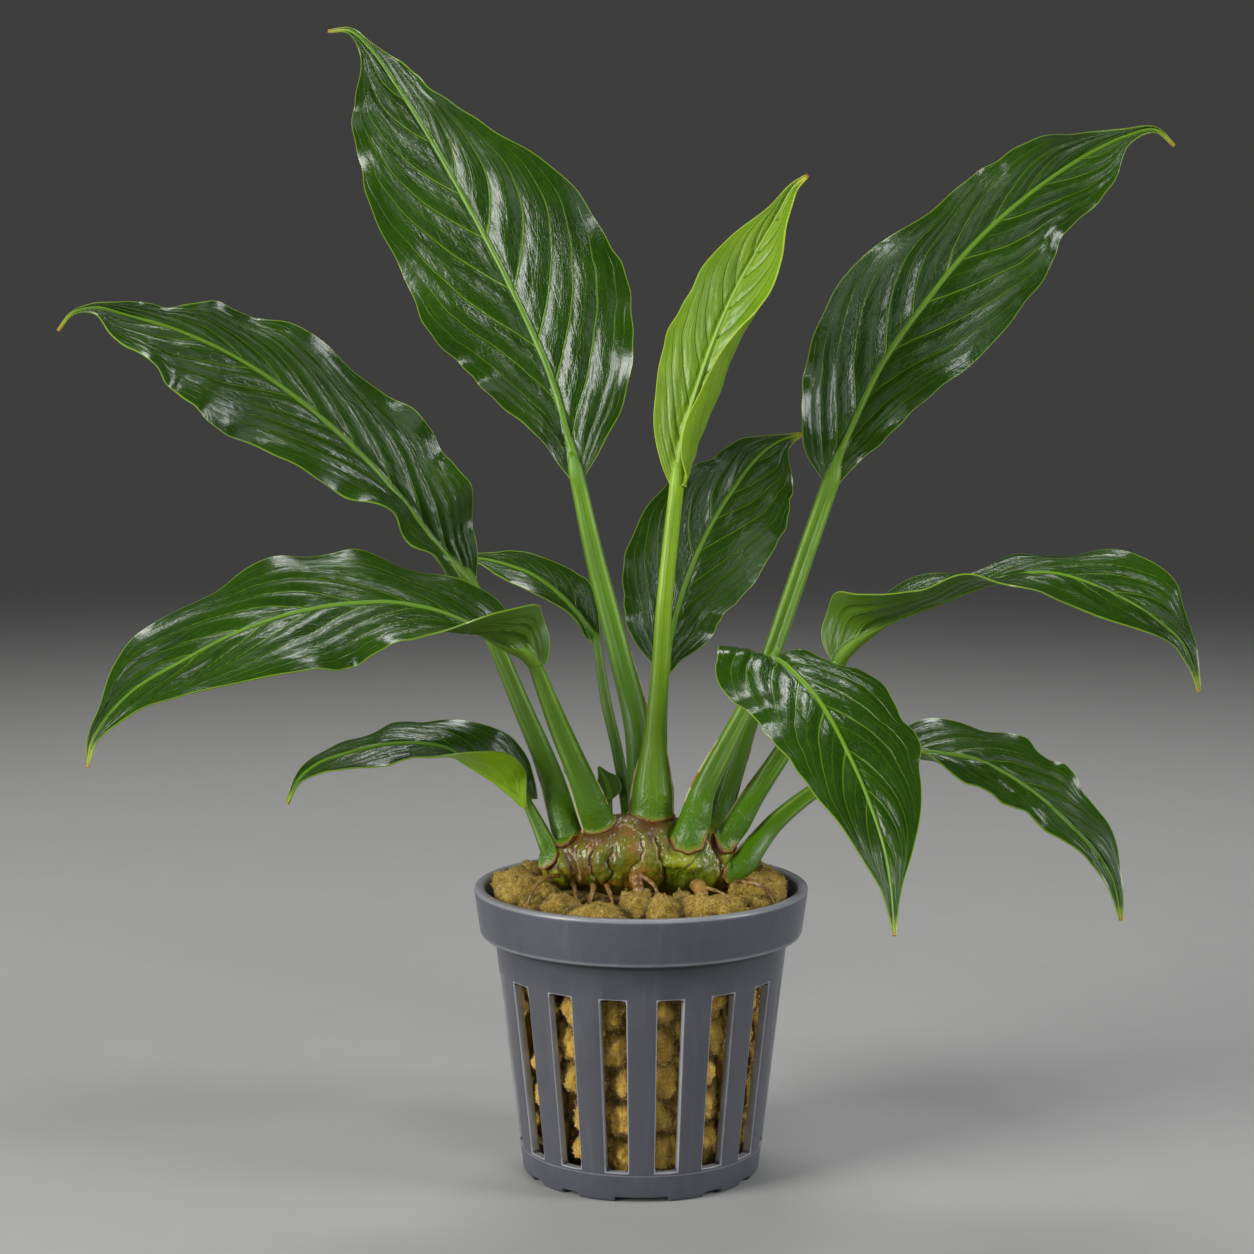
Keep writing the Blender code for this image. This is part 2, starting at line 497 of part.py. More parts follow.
bladeTables = {
    "tall_left": ((0, -1, 0.1), [
        (-10, 9, 108, 1.1, 10, 0, 1.2, 10, 0), (-11, 10, 112.5, 3.5, 15, 5, 6, 15, 5),
        (-14, 12.5, 123, 9.5, 15, -10, 14, 15, -10), (-20, 16, 136.5, 14.5, 15, -20, 17.5, 15, -20),
        (-28.5, 20.5, 152.5, 14, 15, -20, 13, 15, -20), (-34, 23, 162, 12.5, 15, -15, 7, 30, -5),
        (-39.5, 25.5, 170.5, 7.5, 15, -10, 3.5, 35, 0), (-43.5, 27.3, 176, 2, 20, 0, 1, 35, 0),
        (-47, 28.7, 179, 0.6, 30, 0, 0.5, 30, 0), (-50.5, 30, 179, 0.3, 30, 0, 0.3, 30, 0),
    ]),
    "young": ((-0.25, -1, 0), [
        (5.4, -1.5, 107.5, 1.1, 10, 0, 1.2, 0, 60), (5.8, -1.3, 111, 3.2, 5, 0, 4.8, -15, 170),
        (6.5, -1, 115.6, 5.1, 5, 0, 7.5, -20, 200), (8.3, -0.4, 121.5, 6.4, 5, 0, 8.7, -20, 185),
        (10.5, 0.5, 128, 6.9, 5, -5, 8.6, -5, 140), (13.7, 1.8, 135.6, 6.5, 5, -5, 8.4, 15, 60),
        (17.7, 3.3, 143, 4.6, 5, 0, 6.2, 20, 45), (21.2, 4.5, 149, 1.8, 15, 0, 2.8, 30, 45),
        (23.5, 5.3, 153, 0.7, 30, 0, 1, 40, 0), (25.6, 5.7, 154.7, 0.3, 30, 0, 0.3, 30, 0),
    ]),
    "tall_right": ((0, -1, 0.1), [
        (30, 12, 107.2, 1.4, 10, 0, 1.3, 10, 0), (31, 12.5, 110.5, 6, 15, 10, 3, 15, 10),
        (33, 13.5, 115, 9, 15, 0, 5.5, 15, 0), (38.5, 16, 126, 12, 15, -15, 9.5, 20, -15),
        (45, 18.5, 135, 12.8, 15, -20, 12.8, 20, -20), (54, 21.5, 145.5, 8.2, 15, -20, 12.3, 20, -20),
        (64, 24, 154, 7.5, 15, -20, 8.5, 20, -20), (73.5, 25.5, 160, 3.1, 15, 0, 6, 20, 0),
        (78, 26, 162, 1.3, 20, 0, 1.6, 20, 0), (83, 26.5, 163, 0.5, 30, 0, 0.5, 30, 0),
        (86, 26.5, 160.5, 0.3, 30, 0, 0.3, 30, 0),
    ]),
    "upper_left": ((0, -0.8, 0.6), [
        (-26.5, 5, 91.5, 1.1, 10, 0, 1.1, 10, 0), (-28.5, 4.5, 94, 4.5, 45, 5, 4.2, 10, 0),
        (-31.5, 4, 97.5, 8.5, 60, -5, 7.7, 10, 0), (-37, 2.5, 105, 10, 60, -15, 10.5, 10, -5),
        (-43, 1, 112, 10.5, 42, -20, 11, 10, -20), (-51.5, -1, 120, 11.5, 20, -20, 10, 10, -20),
        (-60.5, -3, 126.5, 12.5, 12, -20, 9, 10, -20), (-69.5, -5, 131, 10, 12, -10, 5, 15, -10),
        (-77.5, -7, 133.5, 5.5, 15, 0, 1.8, 15, 0), (-81.5, -8, 134.5, 2, 20, 0, 0.8, 20, 0),
        (-85, -9, 133.5, 0.7, 30, 0, 0.3, 30, 0), (-87, -9.5, 131, 0.3, 30, 0, 0.2, 30, 0),
    ]),
    "front_left": ((-0.1, -0.45, 0.9), [
        (-16, -13, 81.5, 1.4, 90, 20, 1.2, 20, 0), (-17.5, -13.5, 83, 4.8, 105, 40, 4, 20, -30),
        (-20, -14.5, 84.5, 7.8, 70, 60, 7.2, 10, -20), (-25.5, -16.5, 88, 10, 5, 75, 9, 15, -20),
        (-33.5, -19, 91, 10.2, -5, 30, 11, 15, -20), (-44.5, -23.5, 91.5, 12.5, -5, -20, 12.5, 20, -20),
        (-56, -29, 89, 13.3, 5, -20, 14, 10, -20), (-65.5, -34, 84.5, 9, 5, -15, 10.2, 10, -15),
        (-71.5, -37, 81, 6, 5, -10, 5.7, 10, -10), (-75, -39, 77.5, 3.3, 10, 0, 2.3, 10, 0),
        (-77, -40.3, 74.2, 1.3, 20, 0, 0.8, 20, 0), (-77.5, -41.5, 70.5, 0.3, 30, 0, 0.2, 30, 0),
    ]),
    "low_left": ((0, -0.2, 1), [
        (-17.6, -4, 58.8, 0.8, 0, 0, 1.4, 60, 0), (-19.5, -4.3, 60.2, 2.8, 60, 45, 5.4, 55, -20),
        (-22, -4.8, 62.5, 5, 45, 50, 7.4, 50, -20), (-25.5, -5.5, 65, 6.4, 20, 50, 7, 50, -20),
        (-30, -6.5, 67.8, 7, -5, 45, 7.4, 25, -20), (-37, -8, 68.7, 7, -5, 10, 7.3, 5, -10),
        (-45.5, -9.7, 67.2, 5.2, -5, 0, 5.5, -5, 0), (-49, -10.4, 66, 3.3, -5, 0, 3.5, -5, 0),
        (-52, -11.3, 63.5, 1, 0, 0, 1, 10, 0), (-53.5, -12, 60, 0.3, 30, 0, 0.2, 30, 0),
    ]),
    "small_back": ((0, -0.8, 0.5), [
        (-7, 14, 81.6, 0.7, 10, 0, 0.6, 10, 0), (-8.5, 14.6, 83.7, 2.5, 55, 0, 2.2, 10, 0),
        (-10.5, 15.3, 86.3, 4, 60, 0, 4.3, 10, 0), (-13.7, 16.5, 89.5, 4.8, 50, -10, 4.6, 10, -10),
        (-18, 17.8, 92.3, 4.3, 35, -10, 3.4, 10, -10), (-22, 18.8, 93.7, 2.7, 15, 0, 2.2, 10, 0),
        (-25.5, 19.8, 94.4, 1.3, 15, 0, 1, 10, 0), (-28.5, 20.5, 94.5, 0.3, 30, 0, 0.3, 30, 0),
    ]),
    "front_right": ((0, -0.15, 1), [
        (19.4, -9.8, 81.1, 1, 20, 0, 1, 45, 0), (19.5, -11.4, 81.9, 4.5, 30, -20, 6.5, 35, -20),
        (20.5, -14, 82, 7.6, 12, -20, 9.3, 10, -20), (22.5, -19.5, 81, 10.6, 8, -20, 10.3, -12, -20),
        (25.5, -25.5, 78, 11.4, 8, -20, 10.5, 0, -20), (29, -33.5, 72, 11.5, 5, -20, 9, 5, -20),
        (32, -41, 64.8, 8, 5, -15, 6.3, 5, -15), (33.7, -46, 58.7, 3.5, 5, 0, 3.8, 5, 0),
        (34.2, -49, 54.2, 1.3, 10, 0, 1.5, 10, 0), (34.3, -52, 49, 0.3, 30, 0, 0.3, 30, 0),
    ]),
    "right_arch": ((0, -0.15, 1), [
        (30.6, -1, 80.2, 1.2, 30, 0, 1.4, 90, 0), (31.5, -1.2, 81.5, 4, 20, -20, 4.8, 105, 20),
        (33.2, -1.5, 83.3, 6, 15, -20, 7.2, 100, 30), (37, -2.3, 86.6, 7.8, 20, -20, 8.8, 35, 35),
        (44, -3.7, 89.7, 8.8, 25, -20, 9.3, 10, 40), (53, -6, 93.3, 9, 15, -20, 9.2, 10, 20),
        (61.3, -8.3, 94.8, 9.7, 15, -20, 9.5, 0, -10), (70.5, -11.3, 92, 9.8, 35, -20, 7.8, -5, -15),
        (76.5, -13.4, 88.5, 8, 35, -15, 5.7, -5, -10), (80.8, -15, 84.4, 2.6, 15, 0, 2.4, -5, 0),
        (82, -15.8, 81.3, 1.1, 5, 0, 1.1, 5, 0), (82.8, -16.5, 77.7, 0.3, 30, 0, 0.3, 30, 0),
    ]),
    "low_right": ((0, -0.25, 1), [
        (35.2, 1, 64, 0.9, 30, 0, 0.9, 0, 0), (37, 0.9, 65, 3.5, 25, -20, 3.5, 25, 20),
        (39.5, 0.7, 65.8, 6.2, 20, -20, 5.8, 5, 40), (45, 0, 66, 8.3, 25, -20, 8, 0, 30),
        (52, -1.3, 65, 8.8, 25, -20, 8.2, 0, -5), (58.5, -3, 61.8, 8.5, 30, -20, 7.3, 5, -10),
        (65.5, -5, 56, 6.3, 30, -10, 5.2, 5, -10), (70.3, -6.7, 50.8, 3.6, 20, 0, 3, 0, 0),
        (72.3, -7.7, 47, 1.7, 10, 0, 1.5, 5, 0), (73.3, -9, 41.3, 0.3, 30, 0, 0.3, 30, 0),
    ]),
    "back_right": ((0, -1, 0.25), [
        (3.7, 15, 76.2, 0.8, 10, 0, 0.8, 10, 0), (4.2, 16, 78.5, 4, 15, 0, 2.4, 15, 0),
        (4.8, 17, 81.5, 7.2, 15, 0, 5.5, 15, 0), (6.5, 19.5, 88, 9.8, 15, -15, 8, 15, -15),
        (10.5, 23, 97.7, 11, 15, -20, 11.2, 15, -20), (15, 26, 105, 7.2, 15, -15, 10.3, 15, -15),
        (20.6, 29, 111.5, 2.8, 15, 0, 6, 15, 0), (23, 30, 113, 1.1, 20, 0, 2.6, 20, 0),
        (26.6, 31, 114, 0.3, 30, 0, 0.3, 30, 0),
    ]),
    "base_shoot": ((0, -0.9, 0.4), [
        (-4.9, 4.3, 57.8, 0.5, 10, 0, 0.5, 10, 0), (-5.0, 4.6, 59, 1.5, 10, 0, 2.0, 10, 0),
        (-5.4, 4.9, 60.4, 1.8, 10, 0, 1.9, 10, 0), (-6.1, 5.2, 61.8, 0.8, 10, 0, 0.8, 10, 0),
        (-6.7, 5.4, 62.8, 0.2, 10, 0, 0.2, 10, 0),
    ]),
}
# How far the left and right half reach back past the stalk's end
bladeLobes = {"front_right": (0, 5), "front_left": (1.2, 1), "right_arch": (1, 0.5), "low_left": (0.5, 1.2)}
lobeShare = 0.35
bladeCells = {"young": 4, "front_left": 3, "low_left": 3}
usualBladeCells = 2
fewerBladeSteps = {"base_shoot": 5, "small_back": 8, "low_left": 10}


def makeRhizome(name="rhizome", grow=0.0):
    shape = sweep(rhizomeRows, rhizomeSteps, rhizomeSides, depth=1.0, grow=grow)
    return makeObject(name, *shape, stemBrown, 0.35)


def makeStalk(key, name, grow=0.0):
    steps = stalkSteps.get(key, usualStalkSteps)
    shape = sweep(stalkTables[key], steps, stalkSides, grow=grow)
    return makeObject(name, *shape, stalkGreen, 0.3)


def makeRoot(key, name, grow=0.0):
    shape = sweep(rootTables[key], rootSteps, rootSides, depth=1.0, grow=grow, facing=(0, 0, 1))
    return makeObject(name, *shape, rootTan, 0.5)


def makeBlade(key):
    facing, rows = bladeTables[key]
    steps = fewerBladeSteps.get(key, bladeSteps)
    lobes = bladeLobes.get(key, (0, 0))
    shape = blade(rows, facing, lobes, steps, bladeCells.get(key, usualBladeCells))
    colour = paleGreen if key == "young" else green
    return makeObject("blade_" + key, *shape, colour, 0.25)


def main():
    clearScene()
    makePot()
    makeRhizome()

    # Each stalk is cut by the stem and by the stalks before it that it touches
    done = []
    for key in stalkTables:
        stalk = makeStalk(key, "stalk_" + key)
        cutters = [makeRhizome("cutter", grow=gap)]
        for other in done:
            if boxesTouch(stalkTables[key], stalkTables[other], gap):
                cutters.append(makeStalk(other, "cutter", grow=gap))
        cutBy(stalk, cutters)
        done.append(key)
        makeBlade(key)

    # Roots leave the stem, and the wool is cut by both
    woolCutters = [makeRhizome("cutter", grow=gap)]
    for key in ("low_right", "low_left"):
        woolCutters.append(makeStalk(key, "cutter", grow=gap))
    done = []
    for key in rootTables:
        root = makeRoot(key, key)
        cutters = [makeRhizome("cutter", grow=gap)]
        for other in ("low_right", "low_left"):
            if boxesTouch(rootTables[key], stalkTables[other], gap):
                cutters.append(makeStalk(other, "cutter", grow=gap))
        for other in done:
            if boxesTouch(rootTables[key], rootTables[other], gap):
                cutters.append(makeRoot(other, "cutter", grow=gap))
        cutBy(root, cutters)
        woolCutters.append(makeRoot(key, "cutter", grow=gap))
        done.append(key)
    makeWool(woolCutters)


main()
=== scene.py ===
# Looks of a potted anubias: pot, mineral wool, creeping stem, roots, stalks and leaves
# Tables are in millimetres and degrees, meshes in metres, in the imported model's frame

import math

import bmesh
import bpy
import numpy as np
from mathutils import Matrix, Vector, noise


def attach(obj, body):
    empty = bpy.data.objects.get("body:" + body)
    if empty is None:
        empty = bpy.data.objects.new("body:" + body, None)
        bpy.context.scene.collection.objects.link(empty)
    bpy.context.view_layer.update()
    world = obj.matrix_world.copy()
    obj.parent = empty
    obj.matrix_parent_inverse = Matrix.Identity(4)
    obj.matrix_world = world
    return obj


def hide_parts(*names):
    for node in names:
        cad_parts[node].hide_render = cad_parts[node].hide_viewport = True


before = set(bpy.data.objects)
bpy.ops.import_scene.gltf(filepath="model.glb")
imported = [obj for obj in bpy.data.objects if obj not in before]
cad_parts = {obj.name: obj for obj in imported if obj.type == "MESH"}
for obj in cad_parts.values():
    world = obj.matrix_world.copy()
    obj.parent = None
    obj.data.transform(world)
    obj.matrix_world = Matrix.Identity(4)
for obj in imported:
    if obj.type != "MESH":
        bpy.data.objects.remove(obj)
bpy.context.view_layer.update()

mm = 0.001
tau = 2 * math.pi
faraway = 1e9  # a distance or height that counts as none


# Shader and geometry trees

def plug(tree, socket, value):
    if isinstance(value, Wire):
        tree.links.new(value.socket, socket)
    elif socket.type == "RGBA":
        socket.default_value = (*value, 1)
    else:
        socket.default_value = value


def addNode(tree, kind, values=None, settings=None):
    # Settings come first, because they decide which sockets a node shows
    node = tree.nodes.new(kind)
    for name, value in (settings or {}).items():
        setattr(node, name, value)
    for name, value in (values or {}).items():
        plug(tree, node.inputs[name], value)
    return node


def maths(operation, swapped=False, second=0.0):
    # A method that puts one maths node behind a wire
    def method(self, other=second):
        pair = {0: other, 1: self} if swapped else {0: self, 1: other}
        node = addNode(self.tree, "ShaderNodeMath", pair, {"operation": operation})
        return Wire(self.tree, node.outputs[0])
    return method


class Wire:
    # An output socket that can be used in sums
    def __init__(self, tree, socket):
        self.tree = tree
        self.socket = socket

    __add__ = maths("ADD")
    __radd__ = maths("ADD", True)
    __sub__ = maths("SUBTRACT")
    __rsub__ = maths("SUBTRACT", True)
    __mul__ = maths("MULTIPLY")
    __rmul__ = maths("MULTIPLY", True)
    __truediv__ = maths("DIVIDE")
    __rtruediv__ = maths("DIVIDE", True)
    __abs__ = maths("ABSOLUTE")
    most = maths("MAXIMUM")
    wave = maths("SINE")
    turnFrom = maths("ARCTAN2")
    toNearest = maths("PINGPONG", second=0.5)  # distance to the nearest whole number

    def step(self, low, high):
        # Smooth rise from 0 at low to 1 at high, which may be the smaller one
        ends = (high, low, 1.0, 0.0) if low > high else (low, high, 0.0, 1.0)
        settings = {"interpolation_type": "SMOOTHSTEP"}
        node = addNode(self.tree, "ShaderNodeMapRange", dict(enumerate((self, *ends))), settings)
        return Wire(self.tree, node.outputs[0])


class Nodes:
    # A tree in which a new node comes back as the wire that leaves it
    def __init__(self, tree):
        self.tree = tree

    def add(self, kind, values=None, settings=None, output=0):
        return Wire(self.tree, addNode(self.tree, kind, values, settings).outputs[output])

    def join(self, x, y, z):
        return self.add("ShaderNodeCombineXYZ", {0: x, 1: y, 2: z})


class Finish(Nodes):
    # A material around one Principled shader
    def __init__(self, name, plain):
        self.material = bpy.data.materials.new(name)
        self.material.use_nodes = True
        super().__init__(self.material.node_tree)
        self.place = self.add("ShaderNodeTexCoord", output=3)  # in metres
        for label, value in plain.items():
            self.feed(label, value)

    def feed(self, label, value):
        plug(self.tree, self.tree.nodes["Principled BSDF"].inputs[label], value)

    def noise(self, scale, detail=2.0, roughness=0.5, distortion=0.0, at=None):
        values = {"Vector": at or self.place, "Scale": scale, "Detail": detail}
        values.update({"Roughness": roughness, "Distortion": distortion})
        return self.add("ShaderNodeTexNoise", values)

    def length(self, vector):
        return self.add("ShaderNodeVectorMath", {0: vector}, {"operation": "LENGTH"}, output=1)

    def split(self, vector):
        node = addNode(self.tree, "ShaderNodeSeparateXYZ", {0: vector})
        return [Wire(self.tree, socket) for socket in node.outputs]

    def layer(self, name):
        # The two coordinates of a UV map
        return self.split(self.add("ShaderNodeUVMap", None, {"uv_map": name}))[:2]

    def own(self, *names):
        # Numbers stored on the mesh
        settings = [{"attribute_name": name} for name in names]
        return [self.add("ShaderNodeAttribute", None, setting, output=2) for setting in settings]

    def stretched(self, *scales):
        # Noise drawn out along the axis with the smallest scale
        place = self.add("ShaderNodeMapping", {0: self.place, 3: scales})
        return self.noise(1.0, 3, at=place)

    def mix(self, share, one, two):
        values = {0: share, 6: one, 7: two}
        return self.add("ShaderNodeMix", values, {"data_type": "RGBA"}, output=2)

    def paint(self, look, first, *layers):
        # Colours of a look laid over one another, each by its share
        colour = look[first]
        for share, name in layers:
            colour = self.mix(share, colour, look.get(name, name))
        self.feed("Base Color", colour)

    def bump(self, height, strength=1.0):
        # Height is in millimetres
        values = {"Height": height, "Distance": mm, "Strength": strength}
        self.feed("Normal", self.add("ShaderNodeBump", values))


class Growth(Nodes):
    # A geometry tree with named inputs
    def __init__(self, name, inputs):
        super().__init__(bpy.data.node_groups.new(name, "GeometryNodeTree"))
        interface = self.tree.interface
        for way in ("INPUT", "OUTPUT"):
            interface.new_socket("Geometry", in_out=way, socket_type="NodeSocketGeometry")
        kinds = {float: "NodeSocketFloat", int: "NodeSocketInt"}
        for label, value in inputs.items():
            socket = interface.new_socket(label, in_out="INPUT", socket_type=kinds[type(value)])
            socket.default_value = value
        sockets = self.tree.nodes.new("NodeGroupInput").outputs
        self.given = {socket.name: Wire(self.tree, socket) for socket in sockets}

    def end(self, geometry, material):
        values = {"Geometry": geometry, "Material": material}
        result = self.add("GeometryNodeSetMaterial", values)
        plug(self.tree, self.tree.nodes.new("NodeGroupOutput").inputs[0], result)


def grow(thing, growth, values, name):
    # Runs a geometry tree on an object and returns the result as a plain mesh object
    modifier = thing.modifiers.new("Grow", "NODES")
    modifier.node_group = growth.tree
    for item in growth.tree.interface.items_tree:
        if item.in_out == "INPUT" and item.name in values:
            modifier[item.identifier] = values[item.name]
    return settled(thing, name)


# Numbers and meshes

def newThing(name, data):
    thing = bpy.data.objects.new(name, data)
    bpy.context.scene.collection.objects.link(thing)
    return thing


def settled(thing, name):
    # The evaluated mesh of an object, as a new object in its place
    bpy.context.view_layer.update()
    graph = bpy.context.evaluated_depsgraph_get()
    mesh = bpy.data.meshes.new_from_object(thing.evaluated_get(graph), depsgraph=graph)
    mesh.name = name
    bpy.data.objects.remove(thing, do_unlink=True)
    return newThing(name, mesh)


def newShape(name, points, faces, edges=()):
    # Points are in millimetres
    mesh = bpy.data.meshes.new(name)
    mesh.from_pydata((np.asarray(points) * mm).tolist(), edges, faces)
    return newThing(name, mesh)


def shapeFrom(name, work):
    mesh = bpy.data.meshes.new(name)
    work.to_mesh(mesh)
    work.free()
    return newThing(name, mesh)


def setNumbers(mesh, numbers):
    # Stores a number for each point under each label
    for label, values in numbers.items():
        attribute = mesh.attributes.new(label, "FLOAT", "POINT")
        attribute.data.foreach_set("value", np.asarray(values, dtype=np.float32).ravel())


def newPiece(name, points, faces, materials, picks, layers, numbers=None):
    piece = newShape(name, points, faces)
    mesh = piece.data
    for material in materials:
        mesh.materials.append(material)
    mesh.polygons.foreach_set("material_index", picks)
    for label, values in layers.items():
        layer = mesh.uv_layers.new(name=label)
        layer.data.foreach_set("uv", np.asarray(values, dtype=np.float32).ravel())
    setNumbers(mesh, numbers or {})
    mesh.shade_smooth()
    mesh.update()
    return piece


def outwardFaces(mesh):
    work = bmesh.new()
    work.from_mesh(mesh)
    bmesh.ops.recalc_face_normals(work, faces=work.faces)
    work.to_mesh(mesh)
    work.free()


def settle(piece, slot, *nodes):
    # The finished piece rides on the one body and stands for its solids
    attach(piece, "root")
    if nodes:
        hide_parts(*nodes)


def unit(values):
    return values / (np.linalg.norm(values, axis=-1, keepdims=True) + 1e-12)


def dome(values):
    # Height of a half circle
    return np.sqrt(np.maximum(0, 1 - values ** 2))


def smoothStep(values, low, high):
    share = np.clip((values - low) / (high - low), 0, 1)
    return share * share * (3 - 2 * share)


def noiseAt(points, scale, seed=0.0):
    # One smooth random value, from about -1 to 1, for each point
    points = np.asarray(points, dtype=float)
    flat = points.reshape(-1, 3) * scale + seed
    return np.array([noise.noise(Vector(point)) for point in flat]).reshape(points.shape[:-1])


def crowded(shares, crowd):
    # Shares of a length, gathered toward both of its ends
    return shares - crowd * np.sin(tau * shares) / tau


def smoothRows(rows, steps, crowd=0.0):
    # Rows read from a smooth curve through the given rows
    rows = np.array(rows, dtype=float)
    lengths = np.linalg.norm(np.diff(rows[:, :3], axis=0), axis=1)
    at = np.concatenate([[0.0], np.cumsum(lengths)])
    slopes = np.diff(rows, axis=0) / lengths[:, None]
    before, after = lengths[:-1, None], lengths[1:, None]
    middle = (slopes[:-1] * after + slopes[1:] * before) / (before + after)
    tangents = np.concatenate([slopes[:1], middle, slopes[-1:]])
    places = at[-1] * crowded(np.linspace(0.0, 1.0, steps + 1), crowd)
    spans = np.clip(np.searchsorted(at, places, side="right") - 1, 0, len(lengths) - 1)
    length = lengths[spans][:, None]
    t = (places - at[spans])[:, None] / length
    result = rows[spans] * (2 * t ** 3 - 3 * t ** 2 + 1)
    result += tangents[spans] * length * (t ** 3 - 2 * t ** 2 + t)
    result += rows[spans + 1] * (3 * t ** 2 - 2 * t ** 3)
    return result + tangents[spans + 1] * length * (t ** 3 - t ** 2)


def framesAlong(points, facing):
    # Direction, face normal and rightward direction at each point
    ahead = unit(np.gradient(points, axis=0))
    facing = np.array(facing)
    normal = unit(facing - ahead * (ahead @ facing)[:, None])
    return ahead, normal, np.cross(ahead, normal)


def runOf(points):
    # Share of the whole length at each point, and the length
    run = np.concatenate([[0.0], np.cumsum(np.linalg.norm(np.diff(points, axis=0), axis=1))])
    return run / run[-1], run[-1]


def tube(rings):
    # Faces of a closed tube, and the places of their corners as steps and sides
    steps, sides = rings.shape[0] - 1, rings.shape[1]
    corners = [
        [(ring, side), (ring, side + 1), (ring + 1, side + 1), (ring + 1, side)]
        for ring in range(steps) for side in range(sides)
    ]
    corners.append([(0, side) for side in range(sides)][::-1])
    corners.append([(steps, side) for side in range(sides)])
    faces = [[ring * sides + side % sides for ring, side in face] for face in corners]
    return faces, np.array([corner for face in corners for corner in face])


def toLine(x, z, points):
    # Distance to a line through the points, and the same with a sign that is positive on its left
    best = np.full(x.shape, faraway)
    signed = np.zeros(x.shape)
    for (x0, z0), (x1, z1) in zip(points, points[1:]):
        right, up = x1 - x0, z1 - z0
        along = np.clip(((x - x0) * right + (z - z0) * up) / (right ** 2 + up ** 2), 0, 1)
        away = np.hypot(x - x0 - along * right, z - z0 - along * up)
        cross = right * (z - z0) - up * (x - x0)
        signed = np.where(away < best, np.sign(cross) * away, signed)
        best = np.minimum(best, away)
    return best, signed


# Camera, light and floor

view = {"place": (-2.2, -408.0, 131.7), "pitch": 6.46, "lens": 76.36, "sensor": 36.0}
studio = {
    "backdrop": (0.8, 0.8, 0.79),
    "ambient": 0.06,
    "floorDark": (0.3384, 0.3384, 0.3337),
    "floorPale": (0.36, 0.36, 0.355),
    "floorHalf": 4000,
    "floorReach": (0.3, 1.05),  # metres from the middle over which the floor fades away
    "aim": (0, 0, 0.09),
    "boxes": [  # place in metres, width and height in metres, watts, colour
        ((-0.67, -0.41, 0.36), (0.36, 0.56), 8.6, (1.0, 0.99, 0.97)),
        ((0.76, -0.24, 0.4), (0.24, 0.56), 4.4, (0.97, 0.98, 1.0)),
        ((0.22, -0.56, 0.84), (0.2, 0.14), 1.1, (1.0, 1.0, 1.0)),
        ((0.34, -0.78, 0.46), (0.46, 0.56), 1.0, (0.94, 0.97, 1.0)),
        ((-0.06, 0.38, 0.8), (0.4, 0.24), 2.6, (1.0, 1.0, 1.0)),
    ],
}


def makeCamera():
    bpy.context.scene.view_settings.view_transform = "Standard"
    camera = bpy.data.cameras.new("camera")
    camera.lens = view["lens"]
    camera.sensor_width = view["sensor"]
    camera.clip_start = 0.01
    holder = newThing("camera", camera)
    holder.location = [value * mm for value in view["place"]]
    holder.rotation_euler = (math.radians(90 - view["pitch"]), 0, 0)
    bpy.context.scene.camera = holder


def makeLights():
    world = bpy.data.worlds.new("studio")
    world.use_nodes = True
    background = world.node_tree.nodes["Background"]
    background.inputs["Color"].default_value = (*studio["backdrop"], 1)
    background.inputs["Strength"].default_value = studio["ambient"]
    bpy.context.scene.world = world
    for index, (place, size, watts, colour) in enumerate(studio["boxes"]):
        light = bpy.data.lights.new(f"softbox_{index + 1}", "AREA")
        light.shape = "RECTANGLE"
        light.size, light.size_y = size
        light.energy = watts
        light.color = colour
        holder = newThing(light.name, light)
        holder.location = place
        aim = Vector(studio["aim"]) - Vector(place)
        holder.rotation_euler = aim.to_track_quat("-Z", "Y").to_euler()


def makeFloor():
    half = studio["floorHalf"]
    corners = [(-half, -half, 0), (half, -half, 0), (half, half, 0), (-half, half, 0)]
    floor = newShape("floor", corners, [(0, 1, 2, 3)])
    finish = Finish("pale_floor", {"Roughness": 0.7})
    finish.paint(studio, "floorDark", (finish.noise(90, 3), "floorPale"))
    near, gone = studio["floorReach"]
    finish.feed("Alpha", finish.length(finish.place).step(gone, near))
    floor.data.materials.append(finish.material)
    print("studio:", len(studio["boxes"]), "lamps")


# Leaves: for each, where it faces, and rows of place, then half width, lean and curl on the left and on the right

